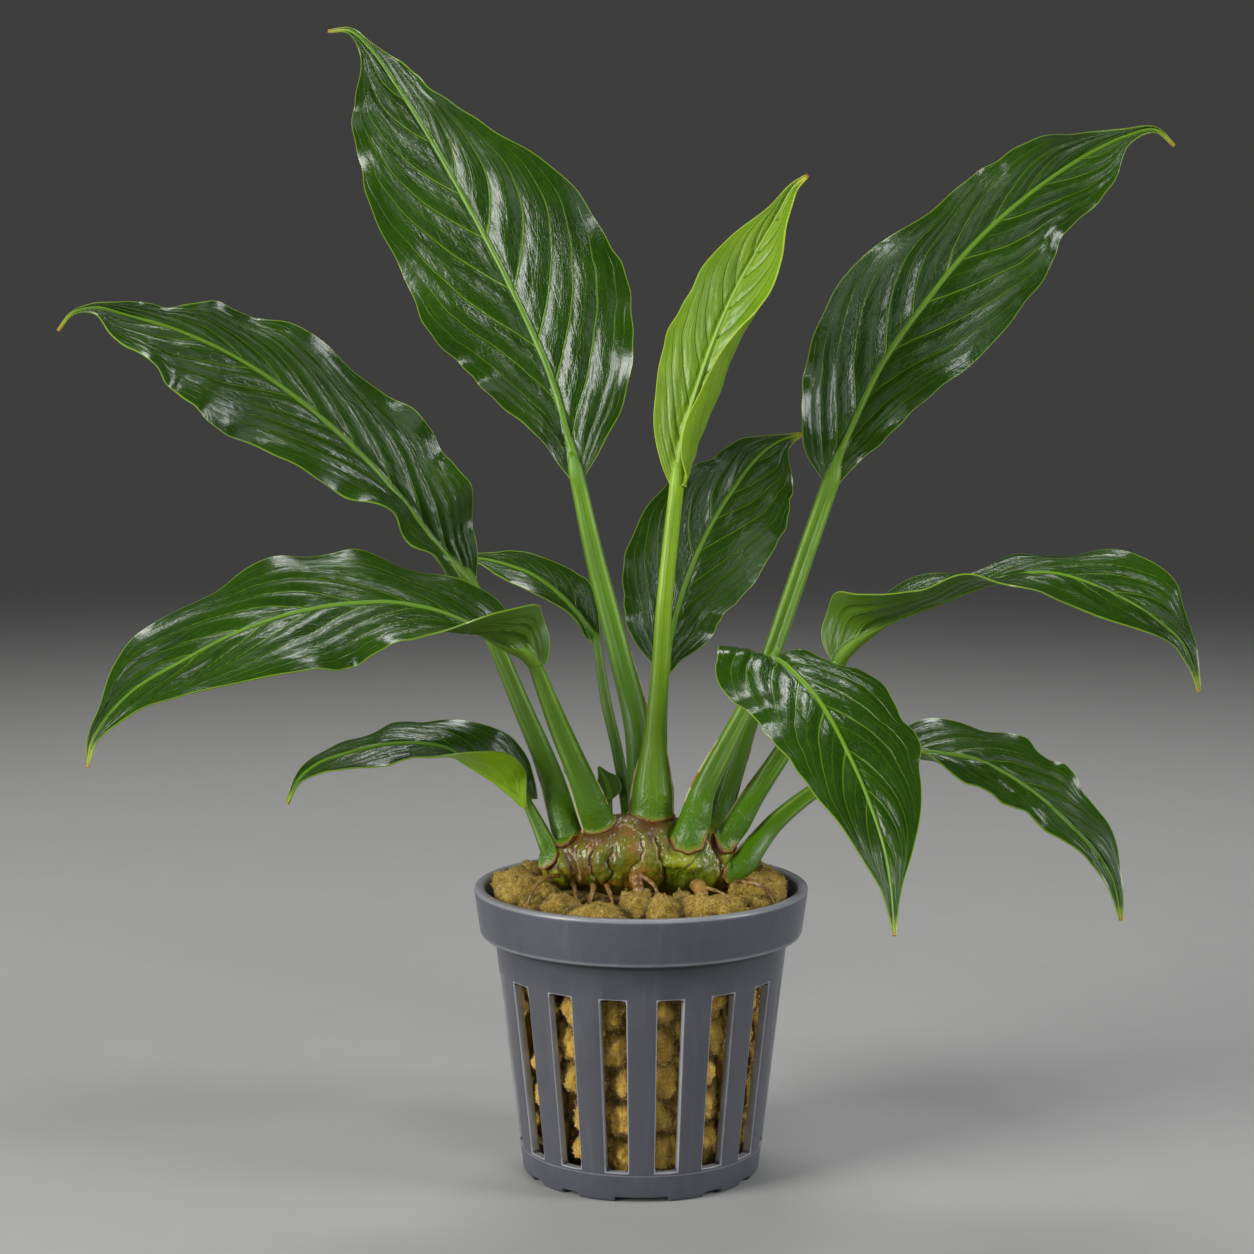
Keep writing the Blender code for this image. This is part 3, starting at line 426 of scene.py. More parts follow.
bladeTables = {
    "tall_left": ((0, -1, 0.1), [
        (-10, 9, 108, 1.1, 10, 0, 1.2, 10, 0), (-11, 10, 112.5, 3.5, 15, 5, 6, 15, 5),
        (-14, 12.5, 123, 9.5, 15, -10, 14, 15, -10), (-20, 16, 136.5, 14.5, 15, -20, 17.5, 15, -20),
        (-28.5, 20.5, 152.5, 14, 15, -20, 13, 15, -20), (-34, 23, 162, 12.5, 15, -15, 7, 30, -5),
        (-39.5, 25.5, 170.5, 7.5, 15, -10, 3.5, 35, 0), (-43.5, 27.3, 176, 2, 20, 0, 1, 35, 0),
        (-47, 28.7, 179, 0.6, 30, 0, 0.5, 30, 0), (-50.5, 30, 179, 0.3, 30, 0, 0.3, 30, 0),
    ]),
    "young": ((-0.25, -1, 0), [
        (5.4, -1.5, 107.5, 1.1, 10, 0, 1.2, 0, 60), (5.8, -1.3, 111, 3.2, 5, 0, 4.8, -15, 170),
        (6.5, -1, 115.6, 5.1, 5, 0, 7.5, -20, 200), (8.3, -0.4, 121.5, 6.4, 5, 0, 8.7, -20, 185),
        (10.5, 0.5, 128, 6.9, 5, -5, 8.6, -5, 140), (13.7, 1.8, 135.6, 6.5, 5, -5, 8.4, 15, 60),
        (17.7, 3.3, 143, 4.6, 5, 0, 6.2, 20, 45), (21.2, 4.5, 149, 1.8, 15, 0, 2.8, 30, 45),
        (23.5, 5.3, 153, 0.7, 30, 0, 1, 40, 0), (25.6, 5.7, 154.7, 0.3, 30, 0, 0.3, 30, 0),
    ]),
    "tall_right": ((0, -1, 0.1), [
        (30, 12, 107.2, 1.4, 10, 0, 1.3, 10, 0), (31, 12.5, 110.5, 6, 15, 10, 3, 15, 10),
        (33, 13.5, 115, 9, 15, 0, 5.5, 15, 0), (38.5, 16, 126, 12, 15, -15, 9.5, 20, -15),
        (45, 18.5, 135, 12.8, 15, -20, 12.8, 20, -20), (54, 21.5, 145.5, 8.2, 15, -20, 12.3, 20, -20),
        (64, 24, 154, 7.5, 15, -20, 8.5, 20, -20), (73.5, 25.5, 160, 3.1, 15, 0, 6, 20, 0),
        (78, 26, 162, 1.3, 20, 0, 1.6, 20, 0), (83, 26.5, 163, 0.5, 30, 0, 0.5, 30, 0),
        (86, 26.5, 160.5, 0.3, 30, 0, 0.3, 30, 0),
    ]),
    "upper_left": ((0, -0.8, 0.6), [
        (-26.5, 5, 91.5, 1.1, 10, 0, 1.1, 10, 0), (-28.5, 4.5, 94, 4.5, 45, 5, 4.2, 10, 0),
        (-31.5, 4, 97.5, 8.5, 60, -5, 7.7, 10, 0), (-37, 2.5, 105, 10, 60, -15, 10.5, 10, -5),
        (-43, 1, 112, 10.5, 42, -20, 11, 10, -20), (-51.5, -1, 120, 11.5, 20, -20, 10, 10, -20),
        (-60.5, -3, 126.5, 12.5, 12, -20, 9, 10, -20), (-69.5, -5, 131, 10, 12, -10, 5, 15, -10),
        (-77.5, -7, 133.5, 5.5, 15, 0, 1.8, 15, 0), (-81.5, -8, 134.5, 2, 20, 0, 0.8, 20, 0),
        (-85, -9, 133.5, 0.7, 30, 0, 0.3, 30, 0), (-87, -9.5, 131, 0.3, 30, 0, 0.2, 30, 0),
    ]),
    "front_left": ((-0.1, -0.45, 0.9), [
        (-16, -13, 81.5, 1.4, 90, 20, 1.2, 20, 0), (-17.5, -13.5, 83, 4.8, 105, 40, 4, 20, -30),
        (-20, -14.5, 84.5, 7.8, 70, 60, 7.2, 10, -20), (-25.5, -16.5, 88, 10, 5, 75, 9, 15, -20),
        (-33.5, -19, 91, 10.2, -5, 30, 11, 15, -20), (-44.5, -23.5, 91.5, 12.5, -5, -20, 12.5, 20, -20),
        (-56, -29, 89, 13.3, 5, -20, 14, 10, -20), (-65.5, -34, 84.5, 9, 5, -15, 10.2, 10, -15),
        (-71.5, -37, 81, 6, 5, -10, 5.7, 10, -10), (-75, -39, 77.5, 3.3, 10, 0, 2.3, 10, 0),
        (-77, -40.3, 74.2, 1.3, 20, 0, 0.8, 20, 0), (-77.5, -41.5, 70.5, 0.3, 30, 0, 0.2, 30, 0),
    ]),
    "low_left": ((0, -0.2, 1), [
        (-17.6, -4, 58.8, 0.8, 0, 0, 1.4, 60, 0), (-19.5, -4.3, 60.2, 2.8, 60, 45, 5.4, 55, -20),
        (-22, -4.8, 62.5, 5, 45, 50, 7.4, 50, -20), (-25.5, -5.5, 65, 6.4, 20, 50, 7, 50, -20),
        (-30, -6.5, 67.8, 7, -5, 45, 7.4, 25, -20), (-37, -8, 68.7, 7, -5, 10, 7.3, 5, -10),
        (-45.5, -9.7, 67.2, 5.2, -5, 0, 5.5, -5, 0), (-49, -10.4, 66, 3.3, -5, 0, 3.5, -5, 0),
        (-52, -11.3, 63.5, 1, 0, 0, 1, 10, 0), (-53.5, -12, 60, 0.3, 30, 0, 0.2, 30, 0),
    ]),
    "small_back": ((0, -0.8, 0.5), [
        (-7, 14, 81.6, 0.7, 10, 0, 0.6, 10, 0), (-8.5, 14.6, 83.7, 2.5, 55, 0, 2.2, 10, 0),
        (-10.5, 15.3, 86.3, 4, 60, 0, 4.3, 10, 0), (-13.7, 16.5, 89.5, 4.8, 50, -10, 4.6, 10, -10),
        (-18, 17.8, 92.3, 4.3, 35, -10, 3.4, 10, -10), (-22, 18.8, 93.7, 2.7, 15, 0, 2.2, 10, 0),
        (-25.5, 19.8, 94.4, 1.3, 15, 0, 1, 10, 0), (-28.5, 20.5, 94.5, 0.3, 30, 0, 0.3, 30, 0),
    ]),
    "front_right": ((0, -0.15, 1), [
        (19.4, -9.8, 81.1, 1, 20, 0, 1, 45, 0), (19.5, -11.4, 81.9, 4.5, 30, -20, 6.5, 35, -20),
        (20.5, -14, 82, 7.6, 12, -20, 9.3, 10, -20), (22.5, -19.5, 81, 10.6, 8, -20, 10.3, -12, -20),
        (25.5, -25.5, 78, 11.4, 8, -20, 10.5, 0, -20), (29, -33.5, 72, 11.5, 5, -20, 9, 5, -20),
        (32, -41, 64.8, 8, 5, -15, 6.3, 5, -15), (33.7, -46, 58.7, 3.5, 5, 0, 3.8, 5, 0),
        (34.2, -49, 54.2, 1.3, 10, 0, 1.5, 10, 0), (34.3, -52, 49, 0.3, 30, 0, 0.3, 30, 0),
    ]),
    "right_arch": ((0, -0.15, 1), [
        (30.6, -1, 80.2, 1.2, 30, 0, 1.4, 90, 0), (31.5, -1.2, 81.5, 4, 20, -20, 4.8, 105, 20),
        (33.2, -1.5, 83.3, 6, 15, -20, 7.2, 100, 30), (37, -2.3, 86.6, 7.8, 20, -20, 8.8, 35, 35),
        (44, -3.7, 89.7, 8.8, 25, -20, 9.3, 10, 40), (53, -6, 93.3, 9, 15, -20, 9.2, 10, 20),
        (61.3, -8.3, 94.8, 9.7, 15, -20, 9.5, 0, -10), (70.5, -11.3, 92, 9.8, 35, -20, 7.8, -5, -15),
        (76.5, -13.4, 88.5, 8, 35, -15, 5.7, -5, -10), (80.8, -15, 84.4, 2.6, 15, 0, 2.4, -5, 0),
        (82, -15.8, 81.3, 1.1, 5, 0, 1.1, 5, 0), (82.8, -16.5, 77.7, 0.3, 30, 0, 0.3, 30, 0),
    ]),
    "low_right": ((0, -0.25, 1), [
        (35.2, 1, 64, 0.9, 30, 0, 0.9, 0, 0), (37, 0.9, 65, 3.5, 25, -20, 3.5, 25, 20),
        (39.5, 0.7, 65.8, 6.2, 20, -20, 5.8, 5, 40), (45, 0, 66, 8.3, 25, -20, 8, 0, 30),
        (52, -1.3, 65, 8.8, 25, -20, 8.2, 0, -5), (58.5, -3, 61.8, 8.5, 30, -20, 7.3, 5, -10),
        (65.5, -5, 56, 6.3, 30, -10, 5.2, 5, -10), (70.3, -6.7, 50.8, 3.6, 20, 0, 3, 0, 0),
        (72.3, -7.7, 47, 1.7, 10, 0, 1.5, 5, 0), (73.3, -9, 41.3, 0.3, 30, 0, 0.3, 30, 0),
    ]),
    "back_right": ((0, -1, 0.25), [
        (3.7, 15, 76.2, 0.8, 10, 0, 0.8, 10, 0), (4.2, 16, 78.5, 4, 15, 0, 2.4, 15, 0),
        (4.8, 17, 81.5, 7.2, 15, 0, 5.5, 15, 0), (6.5, 19.5, 88, 9.8, 15, -15, 8, 15, -15),
        (10.5, 23, 97.7, 11, 15, -20, 11.2, 15, -20), (15, 26, 105, 7.2, 15, -15, 10.3, 15, -15),
        (20.6, 29, 111.5, 2.8, 15, 0, 6, 15, 0), (23, 30, 113, 1.1, 20, 0, 2.6, 20, 0),
        (26.6, 31, 114, 0.3, 30, 0, 0.3, 30, 0),
    ]),
    "base_shoot": ((0, -0.9, 0.4), [
        (-4.9, 4.3, 57.8, 0.5, 10, 0, 0.5, 10, 0), (-5.0, 4.6, 59, 1.5, 10, 0, 2.0, 10, 0),
        (-5.4, 4.9, 60.4, 1.8, 10, 0, 1.9, 10, 0), (-6.1, 5.2, 61.8, 0.8, 10, 0, 0.8, 10, 0),
        (-6.7, 5.4, 62.8, 0.2, 10, 0, 0.2, 10, 0),
    ]),
}
bladeLobes = {"front_right": (0, 5), "front_left": (1.2, 1), "right_arch": (1, 0.5), "low_left": (0.5, 1.2)}
leaf = {
    "steps": 150,
    "cells": 28,
    "rowCrowd": 0.3,  # gathers the rows near both ends
    "crowd": 1.35,  # gathers the cells near the midrib
    "lobeShare": 0.35,  # the part of a blade that reaches back beside its stalk
    "thickness": 0.4,
    "veins": 8,
    "veinAngle": 40,
    "veinStart": 0.015,
    "veinReach": 0.86,  # the part of a blade that has side veins
    "veinJitter": 0.3,
    "veinShift": 0.2,  # of the right side's veins against the left side's
    "veinBend": 0.86,
    "ends": (0.06, 0.08),  # parts of the length over which the relief grows and fades
    "quilt": (0.14, 0.45, 0.97),  # parts of the width where panels grow, begin to fade and end
    "bulge": 0.4,
    "minorBulge": 0.12,
    "ripple": 0.16,
    "waves": 4.6,
    "waveHeight": 0.9,
    "waveDrift": 1.1,
    "waveRise": 2.6,  # power by which waves grow toward the margin
    "edgeWaves": 0.3,  # how far the margin goes in and out
    "uneven": 0.9,
    "fullHalf": 9.0,  # half width from which the relief has its whole height
    "cord": 0.26,  # height of the midrib above
    "cordHalf": 0.46,
    "cordFoot": (0.95, 0.62),  # its half width and height at the stalk, as parts of the stalk's half width
    "keel": 0.75,  # and below
    "sharpAngle": 70,
    "finishes": ("leaf_top", "leaf_under"),
    "slot": "leaf",
}
leafOwn = {
    "tall_left": {"seed": 11, "waves": 5.2, "waveHeight": 0.9, "veinAngle": 43},
    "young": {
        "seed": 12, "waves": 2.5, "waveHeight": 0.25, "bulge": 0.16, "uneven": 0.3, "veins": 9,
        "finishes": ("young_top", "young_under"), "slot": "young_leaf",
    },
    "tall_right": {"seed": 13, "waves": 4.2, "waveHeight": 1.0, "veinAngle": 37},
    "upper_left": {"seed": 14, "waves": 5.5, "waveHeight": 1.0, "veinAngle": 31, "veins": 9, "bulge": 0.46},
    "front_left": {"seed": 15, "waves": 4.5, "waveHeight": 0.7, "veinAngle": 33, "veins": 8, "bulge": 0.6},
    "low_left": {
        "seed": 16, "waves": 3.5, "waveHeight": 0.4, "bulge": 0.25, "veins": 7, "veinAngle": 36,
        # its underside is painted lighter, as if lit through the leaf
        "finishes": ("leaf_top", "pale_under"),
    },
    "small_back": {"seed": 17, "waves": 3, "waveHeight": 0.25, "bulge": 0.15, "uneven": 0.3, "veins": 6},
    "front_right": {"seed": 18, "waves": 3.5, "waveHeight": 0.5, "veins": 6, "bulge": 0.55},
    "right_arch": {"seed": 19, "waves": 4, "waveHeight": 0.5, "bulge": 0.42, "veinAngle": 33},
    "low_right": {"seed": 20, "waves": 5, "waveHeight": 0.6, "bulge": 0.42, "veinAngle": 36},
    "back_right": {"seed": 21, "waves": 4, "waveHeight": 0.5, "bulge": 0.28, "veins": 7},
    "base_shoot": {
        "seed": 22, "steps": 40, "cells": 12, "waves": 1.5, "waveHeight": 0.1, "bulge": 0.08,
        "uneven": 0.1, "veins": 5, "cord": 0.12, "keel": 0.3, "thickness": 0.25,
        "finishes": ("leaf_under", "leaf_under"),
    },
}


def halfSheet(side, rows, share, normal, right):
    # A half blade leaves the midrib at the lean angle and curls over its width
    first = 3 if side < 0 else 6
    reach = np.maximum(rows[:, first], 0.15)[:, None] * share
    lean = np.radians(rows[:, first + 1])[:, None]
    curl = np.radians(rows[:, first + 2])[:, None] * share
    flat = np.abs(curl) < 0.001
    bend = np.where(flat, 1.0, curl)
    outward = np.where(flat, np.cos(lean), (np.sin(lean + curl) - np.sin(lean)) / bend)
    upward = np.where(flat, np.sin(lean), (np.cos(lean) - np.cos(lean + curl)) / bend)
    out = side * right[:, None, :] * outward[:, :, None] + normal[:, None, :] * upward[:, :, None]
    return reach, reach[:, :, None] * out


def veinPhase(t, share, look, slope, side):
    # Whole numbers are the side veins, which leave the midrib at an angle and bend toward the tip
    random = np.random.default_rng(look["seed"] * 10 + side)
    numbers = np.arange(-6, look["veins"] + 6)
    uneven = numbers + look["veinJitter"] * random.random(len(numbers)) + look["veinShift"] * (side > 0)
    spots = look["veinStart"] + look["veinReach"] * uneven / look["veins"]
    bend = -np.log(1 - look["veinBend"] * share) / look["veinBend"]
    return np.interp(t[:, None] - slope * bend[None, :], spots, numbers.astype(float))


def leafSheet(key, look):
    # Upper and lower points of a blade, and the coordinates that its finish follows
    facing, table = bladeTables[key]
    steps, cells = look["steps"], look["cells"]
    rows = smoothRows(table, steps, look["rowCrowd"])
    ahead, normal, right = framesAlong(rows[:, :3], facing)
    t, length = runOf(rows[:, :3])
    share = np.linspace(0, 1, cells + 1) ** look["crowd"]
    halfWidth = np.maximum(rows[:, 3], rows[:, 6])
    slope = halfWidth.max() / length / math.tan(math.radians(look["veinAngle"]))
    size = np.minimum(1.0, halfWidth / look["fullHalf"])
    ends = smoothStep(t, 0, look["ends"][0]) * smoothStep(1 - t, 0, look["ends"][1])

    # Waves of the margin, in and out here, up and down below
    random = np.random.default_rng(look["seed"])
    start = random.random(6) * tau
    drift = look["waveDrift"] * np.sin(tau * 1.7 * t + start[2])
    turns = [tau * look["waves"] * t + start[half] + drift for half in (0, 1)]
    for turn, column in zip(turns, (3, 6)):
        waves = np.sin(turn + 0.8) + 0.35 * np.sin(2.7 * turn)
        rows[:, column] += look["edgeWaves"] * waves * size * ends

    # The bare sheet, whose lobes reach back beside the stalk
    dense = np.linspace(0, 1, 2001)
    places = crowded(np.linspace(0, 1, steps + 1), look["rowCrowd"])
    places = np.interp(places, crowded(dense, 0.6), dense)
    back = np.maximum(0, 1 - places / look["lobeShare"]) ** 2
    aside = np.arange(2 * cells + 1) - cells
    grid = np.empty((steps + 1, len(aside), 3))
    reach = np.empty(grid.shape[:2])
    phases = []
    for side, lobe in zip((-1, 1), bladeLobes.get(key, (0, 0))):
        part = slice(cells, None, side)
        reach[:, part], points = halfSheet(side, rows, share, normal, right)
        behind = back[:, None] * lobe * share ** 2
        grid[:, part] = rows[:, None, :3] + points - ahead[:, None, :] * behind[:, :, None]
        phases.append(veinPhase(t, share, look, slope, side)[:, np.abs(aside)])
    outward = unit(np.cross(np.gradient(grid, axis=1), np.gradient(grid, axis=0)))

    # Relief along the outward direction: panels between the veins, margin waves, unevenness
    s = share[np.abs(aside)][None, :]
    phase = np.where(aside < 0, *phases)
    size, ends = size[:, None], ends[:, None]
    grown, fading, gone = look["quilt"]
    inside = smoothStep(s, 0, grown) * (1 - 0.95 * smoothStep(s, fading, gone))
    vary = random.random(64) * 0.9 + 0.55
    own = vary[(np.floor(phase).astype(int) + 20 + 20 * (aside > 0)) % 64]
    panel = look["bulge"] * own * np.sin(math.pi * phase) ** 2
    panel += look["minorBulge"] * np.sin(tau * phase) ** 2
    places = np.stack([phase * 1.6, reach * 0.5, 0 * phase + look["seed"]], axis=-1)
    panel += look["ripple"] * (noiseAt(places, 1.0, 0.5) + 0.5 * noiseAt(places, 2.3, 7.5))
    relief = (panel - 0.6 * look["bulge"]) * inside
    turn = np.where(aside < 0, turns[0][:, None], turns[1][:, None])
    relief += look["waveHeight"] * np.sin(turn) * s ** look["waveRise"]
    relief += look["uneven"] * noiseAt(grid, 0.075, look["seed"] * 3.1) * s
    relief *= size * ends

    # The midrib stands out above and below, and starts as thick as the stalk
    footHalf, footHigh = [stalkTables[key][-1][3] * part for part in look["cordFoot"]]
    cordHalf = look["cordHalf"] * (1 - 0.72 * t) + (footHalf - look["cordHalf"]) * np.exp(-t / 0.07)
    cordHalf = np.minimum(cordHalf, np.maximum(rows[:, 3], 0.3))[:, None]
    cordHigh = (look["cord"] * (1 - 0.6 * t) + footHigh * np.exp(-t / 0.055))[:, None]
    keelHigh = (look["keel"] * (1 - 0.8 * t))[:, None]
    valley = 0.8 * look["cord"] * np.exp(-((reach - 1.5 * cordHalf) / cordHalf) ** 2) * ends
    toTip = (0.5 + 0.5 * smoothStep(1 - t, 0, 0.15))[:, None]
    thick = look["thickness"] * (1 - 0.45 * smoothStep(s, 0.75, 1.0)) * toTip
    top = grid + outward * (relief + cordHigh * dome(reach / cordHalf) - valley)[:, :, None]
    keel = keelHigh * dome(reach / (1.25 * cordHalf))
    under = grid + outward * (relief - thick - keel)[:, :, None]
    return top, under, s[0], t, reach, phases


def makeBlade(key, look, finishes):
    top, under, s, t, reach, phases = leafSheet(key, look)
    steps, cells = look["steps"], look["cells"]
    last = 2 * cells
    i, j = [value.ravel() for value in np.meshgrid(np.arange(steps), np.arange(last), indexing="ij")]
    quads = np.stack([(i, j), (i, j + 1), (i + 1, j + 1), (i + 1, j)]).transpose(2, 0, 1)
    rim = [(0, c) for c in range(last)] + [(r, last) for r in range(steps)]
    rim = np.array(rim + [(steps, c) for c in range(last, 0, -1)] + [(r, 0) for r in range(steps, 0, -1)])
    ahead = np.roll(rim, -1, axis=0)
    sides = np.stack([ahead, rim, rim, ahead], axis=1)
    count = (steps + 1) * (last + 1)
    corners = np.concatenate([quads, quads[:, [0, 3, 2, 1]], sides])
    offsets = np.zeros(corners.shape[:2], dtype=int)
    offsets[len(i):2 * len(i)] = count
    offsets[2 * len(i):, 2:] = count
    faces = corners[..., 0] * (last + 1) + corners[..., 1] + offsets
    left = np.repeat(np.concatenate([j < cells, j < cells, rim[:, 1] + ahead[:, 1] < last]), 4)
    row, column = corners.reshape(-1, 2).T
    across = 0.5 + 0.5 * np.sign(column - cells) * s[column]
    phase = np.where(left, phases[0][row, column], phases[1][row, column])
    layers = {"leaf": np.stack([across, t[row]], axis=1), "vein": np.stack([phase, reach[row, column]], axis=1)}
    picks = np.repeat([0, 1, 0], [len(i), len(i), len(rim)]).tolist()
    points = np.concatenate([top.reshape(-1, 3), under.reshape(-1, 3)])
    piece = newPiece("leaf_" + key, points, faces.tolist(), finishes, picks, layers)
    piece.data.set_sharp_from_angle(angle=math.radians(look["sharpAngle"]))
    settle(piece, look["slot"], "blade_" + key)


leafLooks = {
    "leaf_top": {
        "deep": (0.006, 0.027, 0.001), "fresh": (0.031, 0.098, 0.002), "vein": (0.105, 0.225, 0.01),
        "rib": (0.115, 0.255, 0.004), "margin": (0.2, 0.33, 0.025), "tip": (0.28, 0.36, 0.02),
        "tipEnd": (0.38, 0.25, 0.015), "roughness": 0.2, "relief": 1.0, "coat": 0.06,
    },
    "leaf_under": {
        "deep": (0.034, 0.095, 0.001), "fresh": (0.078, 0.17, 0.002), "vein": (0.13, 0.25, 0.006),
        "rib": (0.125, 0.26, 0.006), "margin": (0.2, 0.32, 0.03), "tip": (0.3, 0.38, 0.02),
        "tipEnd": (0.38, 0.25, 0.015), "roughness": 0.46, "relief": 0.6, "coat": 0.0,
    },
    # Painted light: a much lighter underside, standing in for light shining through the leaf
    "pale_under": {
        "deep": (0.2, 0.4, 0.002), "fresh": (0.3, 0.53, 0.004), "vein": (0.36, 0.58, 0.02),
        "rib": (0.3, 0.52, 0.01), "margin": (0.24, 0.36, 0.05), "tip": (0.3, 0.38, 0.02),
        "tipEnd": (0.38, 0.25, 0.015), "roughness": 0.46, "relief": 0.6, "coat": 0.0,
    },
    "young_top": {
        "deep": (0.085, 0.2, 0.002), "fresh": (0.27, 0.43, 0.01), "vein": (0.08, 0.195, 0.003),
        "rib": (0.27, 0.44, 0.06), "margin": (0.42, 0.56, 0.04), "tip": (0.5, 0.52, 0.05),
        "tipEnd": (0.3, 0.16, 0.02), "roughness": 0.36, "relief": 0.8, "coat": 0.1,
    },
    "young_under": {
        "deep": (0.125, 0.24, 0.002), "fresh": (0.24, 0.39, 0.004), "vein": (0.11, 0.23, 0.003),
        "rib": (0.3, 0.48, 0.05), "margin": (0.48, 0.62, 0.06), "tip": (0.5, 0.52, 0.05),
        "tipEnd": (0.3, 0.16, 0.02), "roughness": 0.38, "relief": 0.5, "coat": 0.1,
    },
}


def leafFinish(name):
    look = leafLooks[name]
    coat = {"Coat Weight": look["coat"], "Coat Roughness": 0.16}
    finish = Finish(name, {**coat, "Specular IOR Level": 0.42})
    acrossLeaf, alongLeaf = finish.layer("leaf")
    phase, reach = finish.layer("vein")
    outward = abs(acrossLeaf - 0.5) * 2.0

    # Masks
    toVein = phase.toNearest()
    fading = outward.step(0.98, 0.72)
    central = outward.step(0.95, 0.55)
    line = (toVein + finish.noise(500, 1) * 0.012).step(0.066, 0.02) * fading
    halo = toVein.step(0.16, 0.0) * fading
    minor = (phase + 0.5).toNearest().step(0.034, 0.01) * central * 0.22
    ribReach = reach / (0.5 - 0.34 * alongLeaf + alongLeaf.step(0.1, 0.0) * 0.55)
    rib = ribReach.step(1.2, 0.8)
    nearRib = ribReach.step(5.0, 1.0)
    margin = (reach * (1.0 / outward.most(0.02) - 1.0)).step(0.2, 0.05)

    # Small relief: ripples from vein to vein, a fine grain along the veins, a net and pores
    ripplePlace = finish.join(phase * 1.7, reach * 0.75, alongLeaf * 3.0)
    ripple = finish.noise(1.0, 2.2, distortion=0.9, at=ripplePlace) * central
    ripple = ripple + finish.noise(330, 2.5, distortion=0.6) * (1.0 - central) * 0.8
    stripe = finish.noise(1.0, 1.5, at=finish.join(phase * 11.0, reach * 0.25, alongLeaf * 2.0))
    netValues = {"Vector": finish.join(phase * 11.0, reach * 1.7, 0.0), "Scale": 1.0}
    net = finish.add("ShaderNodeTexVoronoi", netValues, {"feature": "DISTANCE_TO_EDGE"}).step(0.0, 0.12)
    height = ripple * 0.16 + central * (stripe * 0.014 + net * 0.01) + finish.noise(2200) * 0.022
    height = height * (1.0 - rib * 0.85) - line * (1.0 - rib) * 0.26 - minor * 0.05
    finish.bump(height, look["relief"])
    finish.feed("Roughness", finish.noise(300) * 0.14 + (look["roughness"] - 0.07) + rib * 0.24)

    share = finish.noise(85, 3) * 0.9 + finish.noise(420, 3, 0.6) * 0.45 + stripe * 0.2
    share = share + halo * 0.15 + nearRib * 0.2 - 0.48
    finish.paint(
        look, "deep", (share, "fresh"), ((1.0 - net) * 0.13, "vein"), (line * 0.85 + minor, "vein"),
        (rib, "rib"), (margin * 0.85, "margin"), (alongLeaf.step(0.945, 0.985), "tip"),
        (alongLeaf.step(0.985, 0.998), "tipEnd"),
    )
    return finish.material


def makeBlades():
    finishes = {name: leafFinish(name) for name in leafLooks}
    for key in bladeTables:
        look = {**leaf, **leafOwn[key]}
        makeBlade(key, look, [finishes[name] for name in look["finishes"]])
    print("blades:", len(bladeTables))


# Creeping stem: rows of place and radius

stemRows = [
    (-15.2, -3, 47.6, 1.4), (-13.8, -3, 48.2, 3.2), (-11, -3, 49.2, 4.6), (-8.6, -3, 49.8, 5.0),
    (-7, -3.2, 50.1, 5.7), (-2, -3.2, 50.6, 6.2), (2, -3, 50.6, 6.3), (4.5, -3, 50.3, 5.7),
    (7.5, -3.2, 49.9, 5.9), (11, -3, 49.2, 5.1), (13.6, -3, 48.5, 3.9), (15, -3, 48.0, 1.6),
]
stem = {
    "steps": 320, "sides": 220, "facing": (0, -1, 0.2),
    "lumps": 0.3, "wrinkles": 0.1, "folds": 0.11, "grain": 0.04,
    "wander": 0.3,  # how far the lines leave their tables
    "lineDepth": 0.75,
    "underFoot": 0.2,  # how far it keeps below its plain surface under a foot, and swells beside one
    "pillow": 0.44, "pillowReach": 1.05,  # how far the skin swells between cracks, and over what distance
    "freshSwells": 2,  # the first ones of the swellings have a younger skin
    "freshFeet": ("right_arch", "low_left", "low_right"),  # and so has the stem around these feet
}

